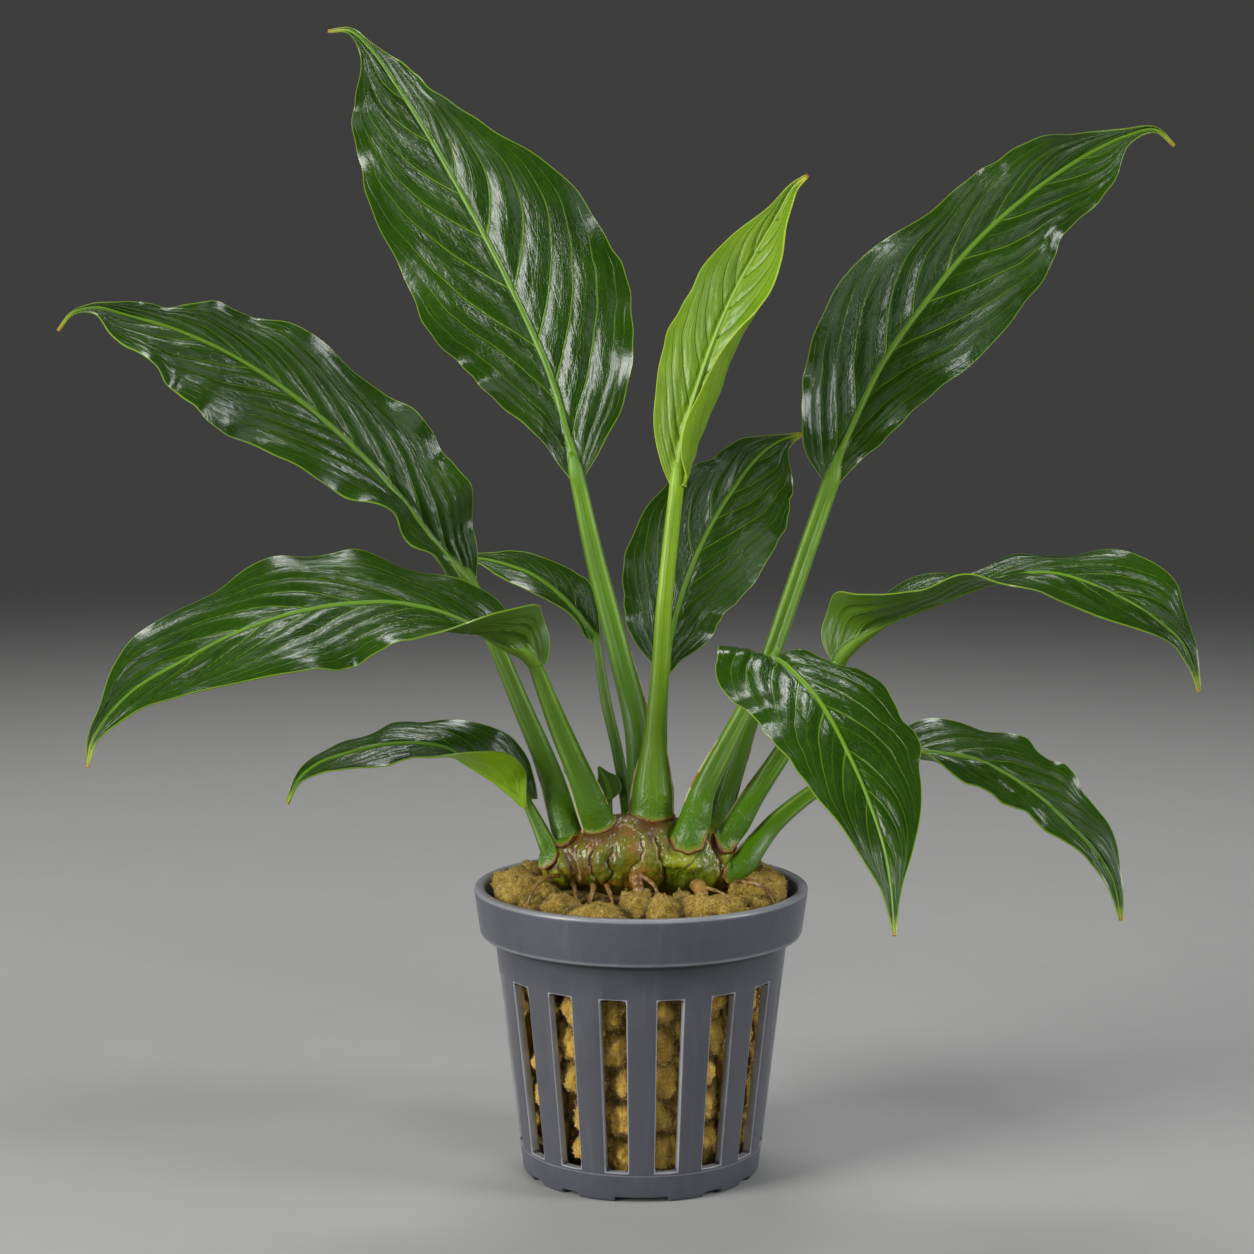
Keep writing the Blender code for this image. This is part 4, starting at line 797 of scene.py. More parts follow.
# Lines on the front of the stem: kind, width, depth, and points of x and z
stemLines = [
    ("ring", 0.42, 0.3, [(-14.4, 48.8), (-13.0, 49.4), (-11.8, 47.9), (-10.6, 45.5)]),
    ("ring", 0.5, 0.22, [(-12.1, 52.2), (-10.9, 50.4), (-10.0, 48.0), (-9.7, 45.5)]),
    ("ridge", 0.12, -0.16, [(-10.7, 53.0), (-11.2, 51.9), (-9.8, 50.4), (-9.4, 47.6), (-9.8, 45.7)]),
    ("crack", 0.2, 0.35, [(-6.9, 52.8), (-7.7, 51.3), (-7.7, 49.4), (-6.8, 47.6), (-6.2, 45.7)]),
    ("ridge", 0.11, -0.1, [(-7.4, 52.6), (-8.1, 51.2), (-8.1, 49.6), (-7.2, 47.6)]),
    ("crack", 0.22, 0.28, [(-4.2, 52.8), (-4.8, 51.3), (-5.1, 50.0), (-4.3, 48.8), (-5.3, 46.6)]),
    ("ridge", 0.1, -0.13, [
        (-3.6, 55.4), (-2.4, 55.7), (-0.8, 55.2), (0.4, 54.2), (0.7, 52.2), (0.2, 50.5), (-1.1, 49.4), (-1.7, 47.6),
    ]),
    ("crack", 0.18, 0.16, [(-0.2, 54.0), (0.3, 52.2), (-0.2, 50.8), (-1.5, 49.7), (-2.1, 47.8)]),
    ("crack", 0.22, 0.42, [(2.1, 54.1), (2.8, 52.4), (3.0, 50.9), (3.4, 49.4), (3.6, 47.6), (3.0, 45.7)]),
    ("ridge", 0.11, -0.11, [(1.7, 54.0), (2.3, 52.2), (2.9, 49.8), (3.1, 47.8)]),
    ("crack", 0.16, 0.24, [(3.5, 49.4), (5.3, 49.3), (7.1, 50.0), (8.5, 51.1), (9.6, 52.6)]),
    ("crack", 0.14, 0.14, [(5.3, 47.6), (5.7, 48.8), (6.8, 49.7)]),
    ("crack", 0.14, 0.14, [(7.4, 49.8), (8.0, 48.4), (8.2, 46.4)]),
    ("ring", 0.4, 0.34, [(9.7, 54.7), (10.6, 53.5), (11.7, 51.9), (12.2, 50.0), (12.2, 48.2), (11.6, 46.3)]),
    ("ridge", 0.12, -0.14, [(9.4, 54.2), (10.4, 52.8), (11.3, 51.4), (11.7, 49.8), (11.7, 48.0)]),
    ("bark", 0.7, 0.1, [(-8.4, 53.9), (-6.4, 53.6), (-4.6, 54.4), (-3.4, 55.6)]),
    ("bark", 0.8, 0.05, [(-0.4, 56.2), (1.4, 55.2), (3.0, 56.2)]),
    ("bark", 0.55, 0.05, [(1.4, 55.2), (1.4, 53.6)]),
    ("bark", 0.45, 0.2, [(-5.0, 50.6), (-4.7, 49.8)]),
    ("bark", 0.9, 0.00, [(-11.2, 51.4), (-10.4, 48.6), (-10.4, 46.4)]),
    ("bark", 0.5, 0.00, [(-9.0, 49.0), (-8.4, 46.0)]),
    ("bark", 0.55, 0.05, [(-1.6, 47.6), (-0.4, 47.2), (0.6, 46.4)]),
    ("bark", 0.45, 0.05, [(10.2, 53.6), (11.4, 52.0)]),
]
# Soft swellings on the front: x and z of the middle, half width, half height, how far out
stemSwells = [
    (6.2, 50.7, 2.9, 1.5, 1.15), (-12.8, 47.4, 1.5, 2.2, 0.5), (8.6, 47.6, 2.6, 2.2, 0.45),
    (-6.0, 50.0, 1.6, 3.2, 0.35), (-2.2, 50.6, 2.2, 3.2, 0.4), (-8.6, 49.6, 1.0, 3.0, 0.3),
]


def fromStem(points):
    # Distance outside the stem's plain surface, and the direction away from its axis
    rows = smoothRows(stemRows, 120)
    offsets = points[..., None, :] - rows[:, :3]
    away = np.linalg.norm(offsets, axis=-1)
    nearest = (away - rows[:, 3]).argmin(axis=-1)[..., None]
    distance = np.take_along_axis(away, nearest, axis=-1)
    offset = np.take_along_axis(offsets, nearest[..., None], axis=-2)[..., 0, :]
    return distance[..., 0] - rows[nearest[..., 0], 3], offset / np.maximum(distance, 0.01)


def makeStem(finish):
    rows = smoothRows(stemRows, stem["steps"])
    ahead, normal, right = [values[:, None, :] for values in framesAlong(rows[:, :3], stem["facing"])]
    angles = (tau * np.arange(stem["sides"]) / stem["sides"])[None, :, None]
    out = normal * np.sin(angles) + right * np.cos(angles)
    grid = rows[:, None, :3] + out * rows[:, None, 3:4]
    swell = stem["lumps"] * noiseAt(grid, 0.22, 3.3) + stem["wrinkles"] * noiseAt(grid, 1.3, 7.7)
    swell += stem["folds"] * noiseAt(grid * (1.7, 1.7, 0.5), 1.0, 1.2) + stem["grain"] * noiseAt(grid, 4.0, 1.2)
    drift = [noiseAt(grid, 0.9, seed) + 0.4 * noiseAt(grid, 2.6, seed) for seed in (5.0, 9.0, 13.0)]
    bent = grid + stem["wander"] * np.stack(drift, axis=-1)
    front = smoothStep(-out[..., 1], -0.25, 0.15)
    marks = {kind: np.zeros(front.shape) for kind in ("ring", "ridge", "crack", "bark", "fresh")}

    # The lines and swellings of the front, and once more on the back, turned round
    for facing, x in ((front, bent[..., 0]), (1 - front, -bent[..., 0])):
        nearest = np.full(front.shape, faraway)
        for kind, width, depth, points in stemLines:
            away = toLine(x, bent[..., 2], points)[0]
            near = np.exp(-(away / width) ** 2) * facing
            marks[kind] = np.maximum(marks[kind], near)
            swell -= stem["lineDepth"] * depth * near
            if kind in ("crack", "ring"):
                nearest = np.minimum(nearest, away)
        pillow = 1 - np.exp(-(nearest / stem["pillowReach"]) ** 2) - 0.6
        swell += stem["pillow"] * pillow * facing
        for index, (middle, height, wide, high, far) in enumerate(stemSwells):
            near = np.exp(-((x - middle) / wide) ** 4 - ((bent[..., 2] - height) / high) ** 4) * facing
            swell += far * near
            if index < stem["freshSwells"]:
                marks["fresh"] = np.maximum(marks["fresh"], near)

    # The stem keeps down where a stalk's foot lies over it
    for key, points in collarLines.items():
        line = stalkRows(key, {**stalk, **stalkOwn.get(key, {})})[::3][:24]
        away = np.linalg.norm(grid[:, :, None, :] - line[None, None, :, :3], axis=-1)
        nearest = (away - line[None, None, :, 3]).min(axis=2)
        above = toLine(grid[..., 0], grid[..., 2], points)[1]
        close = smoothStep(nearest, 0.9, 0.1)
        beside = 0.85 * close * np.exp(-(above + 0.5) ** 2)
        swell = swell * (1 - beside) + stem["underFoot"] * beside
        under = close * smoothStep(above, -0.1, 0.4)
        swell = swell * (1 - under) - stem["underFoot"] * under
        if key in stem["freshFeet"]:
            around = 0.8 * np.exp(-(np.maximum(nearest, 0) / 1.4) ** 2)
            marks["fresh"] = np.maximum(marks["fresh"], around)
    ends = smoothStep(np.abs(rows[:, 0] + 0.4), 13.0, 14.8)[:, None]
    grid = grid + out * (swell - 0.3 * ends * rows[:, 3:4])[:, :, None]
    faces, corners = tube(grid)
    t = runOf(rows[:, :3])[0]
    layers = {"stem": np.stack([corners[:, 1] / stem["sides"], t[corners[:, 0]]], axis=1)}
    numbers = {"brown": np.maximum(marks["ring"], marks["bark"]), "pale": marks["ridge"]}
    numbers.update({"crack": marks["crack"], "fresh": marks["fresh"]})
    points = grid.reshape(-1, 3)
    piece = newPiece("creeping_stem", points, faces, [finish], [0] * len(faces), layers, numbers)
    settle(piece, "rhizome", "rhizome")
    print("creeping stem:", len(faces), "faces")


stemLook = {
    "olive": (0.185, 0.165, 0.002), "green": (0.065, 0.13, 0.002), "yellow": (0.3, 0.34, 0.005),
    "brown": (0.105, 0.036, 0.003), "rust": (0.27, 0.105, 0.01), "dark": (0.036, 0.014, 0.002),
    "pale": (0.45, 0.3, 0.11),
}


def stemFinish():
    finish = Finish("stem_skin", {"Coat Weight": 0.5, "Coat Roughness": 0.12})
    brown, pale, crack, fresh = finish.own("brown", "pale", "crack", "fresh")
    stains = finish.noise(480, 4, 0.65)
    grain = finish.stretched(2400, 900, 420)
    x, y, z = finish.split(finish.place)
    rightward = x.step(0.0015, 0.005)
    finish.paint(
        stemLook, "olive",
        (finish.noise(260, 3).step(0.42, 0.62) * 0.7, "green"),
        (rightward * 0.8, "green"),
        (stains.step(0.48, 0.6) * (1.0 - rightward * 0.85) * 0.7, "rust"),
        (x.step(-0.007, -0.01) * stains.step(0.35, 0.55) * 0.7, "brown"),
        (fresh * (1.25 - stains * 0.8), "yellow"),
        (z.step(0.0525, 0.056) * 0.35, "brown"),
        (brown * (0.5 + grain * 0.8), "brown"),
        (pale.step(0.2, 0.8) * (0.3 + grain * 0.8), "pale"),
        (crack.step(0.4, 1.0) * 0.75, "dark"),
        # Painted shade: the stem darkens toward its bottom, from 47.5 mm down, next to the wool
        (z.step(0.0475, 0.0445) * 0.75, "dark"),
    )
    finish.feed("Roughness", stains * 0.3 + brown * 0.1 + 0.23)
    dents = finish.noise(900, distortion=1.0)
    finish.bump(finish.noise(1900, 3) * 0.04 + grain * 0.08 + stains * 0.1 + dents * 0.16)
    return finish.material


# Stalks: rows of place and half width, from the foot up

stalkTables = {
    "young": [
        (1.7, -3.2, 53.5, 3.7), (1.7, -3.3, 57.5, 3.4), (1.7, -3, 62, 2.8), (2.0, -2.8, 68, 1.85),
        (2.7, -2.4, 76, 1.5), (3.6, -1.9, 90, 1.25), (5.4, -1.5, 107.5, 1.15),
    ],
    "front_left": [
        (-4.9, -4.4, 52.4, 2.8), (-6.3, -5.2, 55.8, 2.55), (-9.1, -7.5, 63, 2.0),
        (-12.2, -10, 70.8, 1.65), (-16.0, -13, 81.3, 1.1),
    ],
    "front_right": [
        (5.4, -3.6, 49.8, 2.7), (7.0, -4.2, 53.6, 2.5), (9.2, -5, 60, 1.95), (13.1, -6.4, 68.3, 1.55),
        (18.8, -8.9, 79.6, 1.1),
    ],
    "right_arch": [
        (10.8, -3, 49.6, 2.4), (13.4, -2.9, 53.2, 2.1), (17.6, -2.5, 59.8, 1.65),
        (23.2, -1.8, 68.4, 1.45), (30.4, -1, 80, 1.2),
    ],
    "upper_left": [
        (-9.8, -2, 48.8, 2.5), (-11.2, -1.2, 53.6, 2.25), (-13.9, 0, 61.9, 1.85), (-19.0, 2, 73.8, 1.5),
        (-26.5, 5, 91.5, 1.15),
    ],
    "tall_left": [
        (1.2, 0.2, 53.5, 2.9), (0.5, 1.6, 59.5, 2.6), (-0.5, 4.4, 68.6, 2.1), (-3.5, 7, 81, 1.8),
        (-7.0, 8.3, 94.5, 1.55), (-10, 9, 108, 1.2),
    ],
    "tall_right": [
        (10.8, -0.4, 49.6, 2.3), (12.0, 2.4, 54.4, 1.95), (15.9, 6, 66.6, 1.6), (21.8, 9.2, 83.6, 1.5),
        (29.9, 12, 107, 1.4),
    ],
    "low_right": [
        (12.9, -3.6, 46.6, 2.4), (16.0, -3.1, 50.2, 1.9), (22.1, -1.5, 56.4, 1.4),
        (28.4, 0, 60.8, 1.15), (35, 1, 63.9, 0.95),
    ],
    "low_left": [(-12.4, -3.8, 47.4, 1.7), (-14.4, -4, 52.4, 1.3), (-17.4, -4, 58.4, 0.8)],
    "small_back": [
        (-1.4, 1.2, 51.4, 1.3), (-2.2, 5, 56.2, 1.0), (-3.7, 8.2, 64.6, 0.9), (-5.6, 11, 72.6, 0.85),
        (-7.0, 14, 81.4, 0.65),
    ],
    "back_right": [(3.4, 0.6, 51.0, 1.4), (3.3, 6, 58.8, 1.15), (3.2, 11, 67.8, 1.0), (3.7, 15, 76, 0.8)],
    "base_shoot": [(-5.2, 0.4, 51.4, 1.0), (-5.2, 2.8, 54.8, 0.8), (-5.0, 4.2, 57.4, 0.5)],
}
# Where a stalk's foot ends on the front of the stem, from left to right: x and z
collarLines = {
    "young": [(-2.4, 57.0), (-0.6, 56.6), (0.8, 56.3), (1.7, 55.7), (2.8, 56.1), (4.0, 56.6), (5.8, 57.0)],
    "front_left": [(-9.6, 54.4), (-7.4, 54.3), (-5.6, 54.8), (-4.2, 55.8), (-2.6, 57.2)],
    "front_right": [(2.6, 57.6), (3.4, 54.4), (5.0, 52.4), (7.4, 51.7), (9.2, 52.3), (10.2, 54.6)],
    "upper_left": [(-13.2, 51.6), (-11.6, 51.7), (-9.9, 52.6), (-8.0, 54.8)],
    "right_arch": [(9.2, 56.4), (10.2, 53.4), (12.0, 51.2), (13.6, 51.2), (15.0, 52.8)],
    "low_right": [(11.4, 54.0), (12.4, 50.2), (12.4, 47.8), (13.8, 45.8), (16.0, 44.0), (22.0, 43.0)],
    "low_left": [(-15.8, 48.6), (-14.4, 48.8), (-13.0, 50.0), (-11.6, 52.6)],
}
stalk = {
    "steps": 150,
    "sides": 72,
    "crowd": 1.6,  # gathers the rows near the foot
    "depth": 0.85,  # front-to-back size over width
    "channel": 0.22,
    "channelStart": 0.3,
    "channelHalf": 24,  # degrees
    "shoulders": (48, 16),  # angle from the front and half width of the channel's edges
    "flutes": 0.015,
    "ring": 0.2,  # how far the brown ring at the foot stands out
    "ringAt": 0.12,
    "ringHalf": 0.17,
    "shift": (0, 0, 0),  # of the foot
    "shiftEnd": 3.0,  # the shift fades out over 10 mm above this
    "fuller": 0.0,
    "over": 0.35,  # how far a foot lies above the stem's plain surface
    "drape": 6.0,  # how far up the foot is pushed out of the stem
    "hug": 3.5,  # how far up it is drawn to the stem
    "footLength": 12.0,  # the part that is laid over the stem
    "hugShare": 0.8,
    "join": 4.5,  # reach into the blade
    "finish": "stalk_skin",
}
stalkOwn = {
    "young": {"channel": 0.04, "fuller": 0.1, "finish": "young_stalk_skin"},
    "front_left": {"shift": (-0.2, -0.6, 0)},
    "front_right": {"shift": (0.5, -3.0, 0), "shiftEnd": 2.5, "fuller": 0.45, "over": 0.9},
    "tall_right": {"channel": 0.34},
    "tall_left": {"channel": 0.3},
    "upper_left": {"channel": 0.28, "shift": (-0.1, -2.4, 0), "shiftEnd": 4.5, "over": 0.3},
    "right_arch": {"shift": (0, -1.9, 0)},
    "low_right": {"shift": (0.3, -2.6, 0), "shiftEnd": 2.0, "fuller": 0.1, "drape": 1.5},
    "low_left": {"shift": (-0.1, -1.4, 0), "fuller": 0.1},
    "base_shoot": {"ring": 0.08, "join": 1.2},
    "small_back": {"ring": 0.12, "join": 2.0},
    "back_right": {"ring": 0.14},
}
# Papery edges of the sheath: angle around the stalk from its right, start, end and height
sheathEdges = {
    "young": [(4, 0.05, 0.27, 0.3), (176, 0.04, 0.22, 0.26)],
    "front_left": [(174, 0.05, 0.55, 0.24), (8, 0.2, 0.36, 0.2)],
    "front_right": [(172, 0.28, 0.62, 0.28)],
    "right_arch": [(170, 0.16, 0.5, 0.24)],
    "low_right": [(165, 0.06, 0.36, 0.24)],
    "low_left": [(10, 0.25, 0.62, 0.16)],
    "tall_left": [(8, 0.28, 0.5, 0.22)],
    "upper_left": [(176, 0.1, 0.4, 0.22)],
    "tall_right": [(5, 0.08, 0.35, 0.22), (175, 0.08, 0.3, 0.22)],
}
# Reach and half thickness of a papery edge, from its root to its rim
paperLines = ((-0.35, 0.1), (0.4, 0.064), (1.0, 0.04))


def stalkRows(key, look):
    # Rows of a stalk, close together at its foot, which is moved to where the photograph shows it
    dense = smoothRows(stalkTables[key], 600)
    share, length = runOf(dense[:, :3])
    places = np.linspace(0, 1, look["steps"] + 1) ** look["crowd"]
    rows = np.stack([np.interp(places, share, dense[:, k]) for k in range(4)], axis=1)
    fade = 1 - smoothStep(places * length, look["shiftEnd"], look["shiftEnd"] + 10)
    rows[:, :3] += fade[:, None] * look["shift"]
    rows[:, 3] += fade * look["fuller"]
    return rows


def drapedFoot(key, look, foot, outward):
    # The foot lies over the stem as far as its collar line; also the height above that line
    above, away = fromStem(foot)
    if key not in collarLines:
        return foot, above - 0.1
    height = toLine(foot[..., 0], foot[..., 2], collarLines[key])[1] + 0.12 * noiseAt(foot, 0.9, len(key))
    kept = smoothStep(height, -0.35, 0.05)
    facing = smoothStep((outward * away).sum(axis=2), -0.1, 0.35) * kept
    draped = facing * smoothStep(height, look["drape"], 0.4 * look["drape"])
    hugging = facing * smoothStep(height, look["hug"], 0.0) * look["hugShare"]
    push = np.clip(look["over"] - above, 0, 2.5) * draped
    pull = np.maximum(0, above + 0.9) * (1 - kept) + np.maximum(0, above - look["over"]) * hugging
    return foot + away * (push - pull)[:, :, None], height


def stalkGrid(key, look):
    # Points around a stalk, and how far each lies above the line where its foot ends
    rows = stalkRows(key, look)
    ahead, normal, right = framesAlong(rows[:, :3], stem["facing"])
    t, length = runOf(rows[:, :3])
    angles = tau * np.arange(look["sides"]) / look["sides"]
    fromFront = np.degrees(np.abs(np.angle(np.exp(1j * (angles - math.pi / 2)))))[None, :]
    start = look["channelStart"]
    channel = look["channel"] * (smoothStep(t, start, start + 0.25) * smoothStep(1 - t, 0.0, 0.07))[:, None]
    shape = 1 - channel * np.exp(-(fromFront / look["channelHalf"]) ** 2)
    shoulder, half = look["shoulders"]
    shape = shape + 0.25 * channel * np.exp(-((fromFront - shoulder) / half) ** 2)
    circle = np.stack([np.cos(angles), np.sin(angles), 0 * angles], axis=1)
    flutes = noiseAt(circle, 9, len(key) * 1.7) + 0.6 * noiseAt(circle, 22, 4.1)
    radius = rows[:, 3:4] * (shape + look["flutes"] * flutes)
    wide = right[:, None, :] * (radius * np.cos(angles))[:, :, None]
    deep = normal[:, None, :] * (radius * look["depth"] * np.sin(angles))[:, :, None]
    grid = rows[:, None, :3] + wide + deep

    # The foot ends in a brown ring
    low = int(np.searchsorted(t * length, look["footLength"]))
    outward = unit(grid[:low] - rows[:low, None, :3])
    foot, height = drapedFoot(key, look, grid[:low], outward)
    edge = np.exp(-((height - look["ringAt"]) / look["ringHalf"]) ** 2) * (0.8 + 0.8 * noiseAt(foot, 0.6, 1.5))
    grid[:low] = foot + outward * (look["ring"] * edge)[:, :, None]

    heights = np.full(grid.shape[:2], 9.0)
    heights[:low] = height

    # The other end lies inside the blade's midrib
    tips = []
    for share in (0.25, 0.5, 0.75, 0.95):
        centre = rows[-1, :3] + ahead[-1] * look["join"] * share - normal[-1] * 0.35 * rows[-1, 3] * share ** 1.5
        tips.append(centre + (1 - share ** 2) ** 0.6 * (grid[-1] - rows[-1, :3]))
    grid = np.concatenate([grid, tips])
    heights = np.concatenate([heights, heights[-len(tips):]])
    return grid, rows, np.concatenate([t, np.ones(len(tips))]), heights


def edgeStrip(grid, rows, t, angle, start, end, height, seed):
    # A thin skin that stands off the stalk's side
    sides = grid.shape[1]
    first, last = np.searchsorted(t, (start, end))
    base = grid[first:last, int(round(angle / 360 * sides)) % sides]
    out = unit(base - rows[first:last, :3])
    over = np.cross(out, unit(np.gradient(base, axis=0)))
    share = np.linspace(0, 1, len(base))
    tall = height * np.sin(math.pi * share ** 0.7) ** 0.6 * (1 + 0.15 * noiseAt(base, 0.5, seed))
    loop = []
    for side, lines in ((1, paperLines), (-1, paperLines[::-1])):
        for reach, half in lines:
            bent = over * (0.25 * tall * reach ** 2)[:, None]
            loop.append(base + out * (tall * reach)[:, None] + bent + side * over * half)
    points = np.stack(loop, axis=1)
    return points.reshape(-1, 3), tube(points)[0]


def makeStalk(key, look, finishes):
    grid, rows, t, heights = stalkGrid(key, look)
    faces, corners = tube(grid)
    layer = np.stack([corners[:, 1] / look["sides"], t[corners[:, 0]]], axis=1)
    points = grid.reshape(-1, 3)
    picks = [0] * len(faces)
    for index, edge in enumerate(sheathEdges.get(key, [])):
        strip, more = edgeStrip(grid, rows, t, *edge, index + len(key))
        faces += [[len(points) + k for k in face] for face in more]
        picks += [1] * len(more)
        points = np.concatenate([points, strip])
        layer = np.concatenate([layer, np.zeros((sum(len(face) for face in more), 2))])
    heights = np.concatenate([heights.ravel(), np.full(len(points) - heights.size, 9.0)])
    piece = newPiece("petiole_" + key, points, faces, finishes, picks, {"stalk": layer}, {"foot": heights})
    outwardFaces(piece.data)
    settle(piece, "stalk", "stalk_" + key)


stalkLooks = {
    "stalk_skin": {"foot": (0.058, 0.155, 0.001), "middle": (0.078, 0.2, 0.001), "top": (0.12, 0.265, 0.004)},
    "young_stalk_skin": {"foot": (0.072, 0.175, 0.001), "middle": (0.15, 0.31, 0.002), "top": (0.24, 0.415, 0.004)},
    "shared": {
        "shoulder": (0.36, 0.5, 0.14), "spot": (0.3, 0.42, 0.1), "pale": (0.24, 0.27, 0.02),
        "ring": (0.3, 0.13, 0.022), "end": (0.11, 0.04, 0.007),
    },
    "sheath_paper": {"pale": (0.62, 0.57, 0.28), "brown": (0.36, 0.18, 0.045)},
}


def stalkFinish(name):
    plain = {"Coat Weight": 0.12, "Coat Roughness": 0.12, "Specular IOR Level": 0.38}
    finish = Finish(name, plain)
    around, along = finish.layer("stalk")
    foot, = finish.own("foot")
    turn = around * tau
    circle = finish.join(turn.wave(), (turn + math.pi / 2).wave(), along * 0.5)
    streaks = finish.noise(9.0, 3, 0.6, at=circle)
    fineStreaks = finish.noise(26.0, at=circle)
    spots = finish.noise(1500)
    stains = finish.noise(700, 3)
    fromFront = abs(around - 0.25)
    grooved = along.step(0.3, 0.55) * along.step(1.0, 0.93)
    finish.paint(
        {**stalkLooks["shared"], **stalkLooks[name]}, "foot",
        (along.step(0.02, 0.35), "middle"),
        (along.step(0.3, 1.0), "top"),
        (abs(fromFront - 0.105).step(0.035, 0.005) * grooved * 0.45, "shoulder"),
        (fromFront.step(0.05, 0.0) * grooved * 0.5, "foot"),
        (fineStreaks.step(0.5, 0.7) * 0.3 + streaks.step(0.45, 0.75) * 0.2, "top"),
        (finish.noise(120).step(0.35, 0.65) * 0.3, "foot"),
        (spots.step(0.66, 0.8) * 0.25, "spot"),
        (foot.step(1.6, 0.1) * (stains + 0.25), "pale"),
        (foot.step(0.46, 0.28), "ring"),
        (foot.step(0.26, 0.12) * (stains * 0.8 + 0.5), "end"),
    )
    finish.feed("Roughness", streaks * 0.14 + spots * 0.1 + 0.2)
    wrinkles = finish.noise(1050, 2.5, distortion=0.8)
    skin = spots * 0.03 + wrinkles * (foot.step(7.5, 2.5) * 0.24 + 0.02)
    finish.bump(streaks * 0.06 + fineStreaks * 0.04 + skin + foot.step(0.9, 0.0) * stains * 0.1)
    return finish.material


def paperFinish(name):
    finish = Finish(name, {"Specular IOR Level": 0.3})
    broad = finish.noise(330, 3)
    finish.paint(stalkLooks[name], "pale", (broad.step(0.5, 0.62), "brown"))
    finish.feed("Roughness", broad * 0.2 + 0.45)
    finish.bump(finish.noise(2100) * 0.05)
    return finish.material


def makeStalks():
    skins = {name: stalkFinish(name) for name in ("stalk_skin", "young_stalk_skin")}
    paper = paperFinish("sheath_paper")
    for key in stalkTables:
        look = {**stalk, **stalkOwn.get(key, {})}
        makeStalk(key, look, (skins[look["finish"]], paper))
    print("stalks:", len(stalkTables))


# Roots: rows of place and radius

rootTables = {
    "root_far_left": [
        (-12.5, -6, 47.8, 0.8), (-14.6, -11.5, 48.4, 0.6), (-16.2, -14, 47.6, 0.5),
        (-17.2, -15.2, 45.2, 0.35),
    ],
    "root_left": [(-13.2, -5, 46.6, 0.7), (-16, -9.5, 47.0, 0.5), (-18.4, -11.5, 44.8, 0.35)],
    "root_left_short": [(-10.6, -6, 46.6, 0.6), (-10.2, -9.8, 46.2, 0.42), (-9.8, -12.0, 44.4, 0.3)],
    "root_ring": [(-7.4, -7, 46.8, 0.6), (-7.4, -10.2, 46.3, 0.5), (-8.2, -12.8, 44.2, 0.38)],
    "root_mid": [(-5.4, -7, 46.8, 0.6), (-4.9, -10.6, 46.2, 0.42), (-4.1, -13.4, 44.2, 0.3)],
    "root_centre": [
        (-0.8, -7, 48.6, 1.5), (-0.7, -9.6, 48.0, 1.15), (-0.4, -11.4, 46.6, 0.85), (-0.2, -13.0, 44.6, 0.6),
    ],
    "root_thick": [
        (8.4, -6, 47.0, 1.5), (8.8, -9.0, 46.4, 1.2), (9.3, -11.0, 45.2, 0.9), (9.8, -12.4, 43.4, 0.55),
    ],
    "root_right": [
        (13.0, -5, 46.6, 0.8), (15.4, -9.2, 47.4, 0.55), (18.4, -11.6, 47.0, 0.5), (20.2, -12.2, 44.6, 0.35),
    ],
    "root_right_thin": [(13.8, -3, 46.6, 0.7), (17.0, -6.0, 47.5, 0.45), (19.6, -8.2, 45.0, 0.35)],
}
# Finer strands that ride with a root
rootStrands = {
    "root_far_left": [[(-13.6, -7, 47.4, 0.3), (-15.8, -11.8, 47.4, 0.25), (-18.0, -13.6, 45.4, 0.18)]],
    "root_centre": [
        [(-0.4, -9.4, 48.6, 0.4), (1.2, -11.0, 48.0, 0.32), (2.2, -12.4, 46.9, 0.28), (2.8, -13.2, 45.0, 0.2)],
    ],
    "root_right": [[(14.4, -7.4, 47.2, 0.3), (17.4, -10.2, 48.0, 0.25), (20.6, -11.2, 46.0, 0.16)]],
    "root_thick": [[(10.0, -11.4, 47.0, 0.28), (12.4, -14.0, 46.6, 0.22), (14.2, -15.4, 45.4, 0.15)]],
}
root = {"Points": 70, "Sides": 14, "Wander": 0.0004, "Wrinkles": 0.55, "Seed": 4}  # wander in metres
rootThinning = dict.fromkeys(("root_far_left", "root_left", "root_right", "root_right_thin"), 0.5)
rootThinning.update(dict.fromkeys(("root_left_short", "root_ring", "root_mid"), 0.8))
rootLook = {
    "brown": (0.11, 0.045, 0.01), "tan": (0.29, 0.15, 0.035), "pale": (0.52, 0.33, 0.12),
    "heart": (0.43, 0.26, 0.06),
}


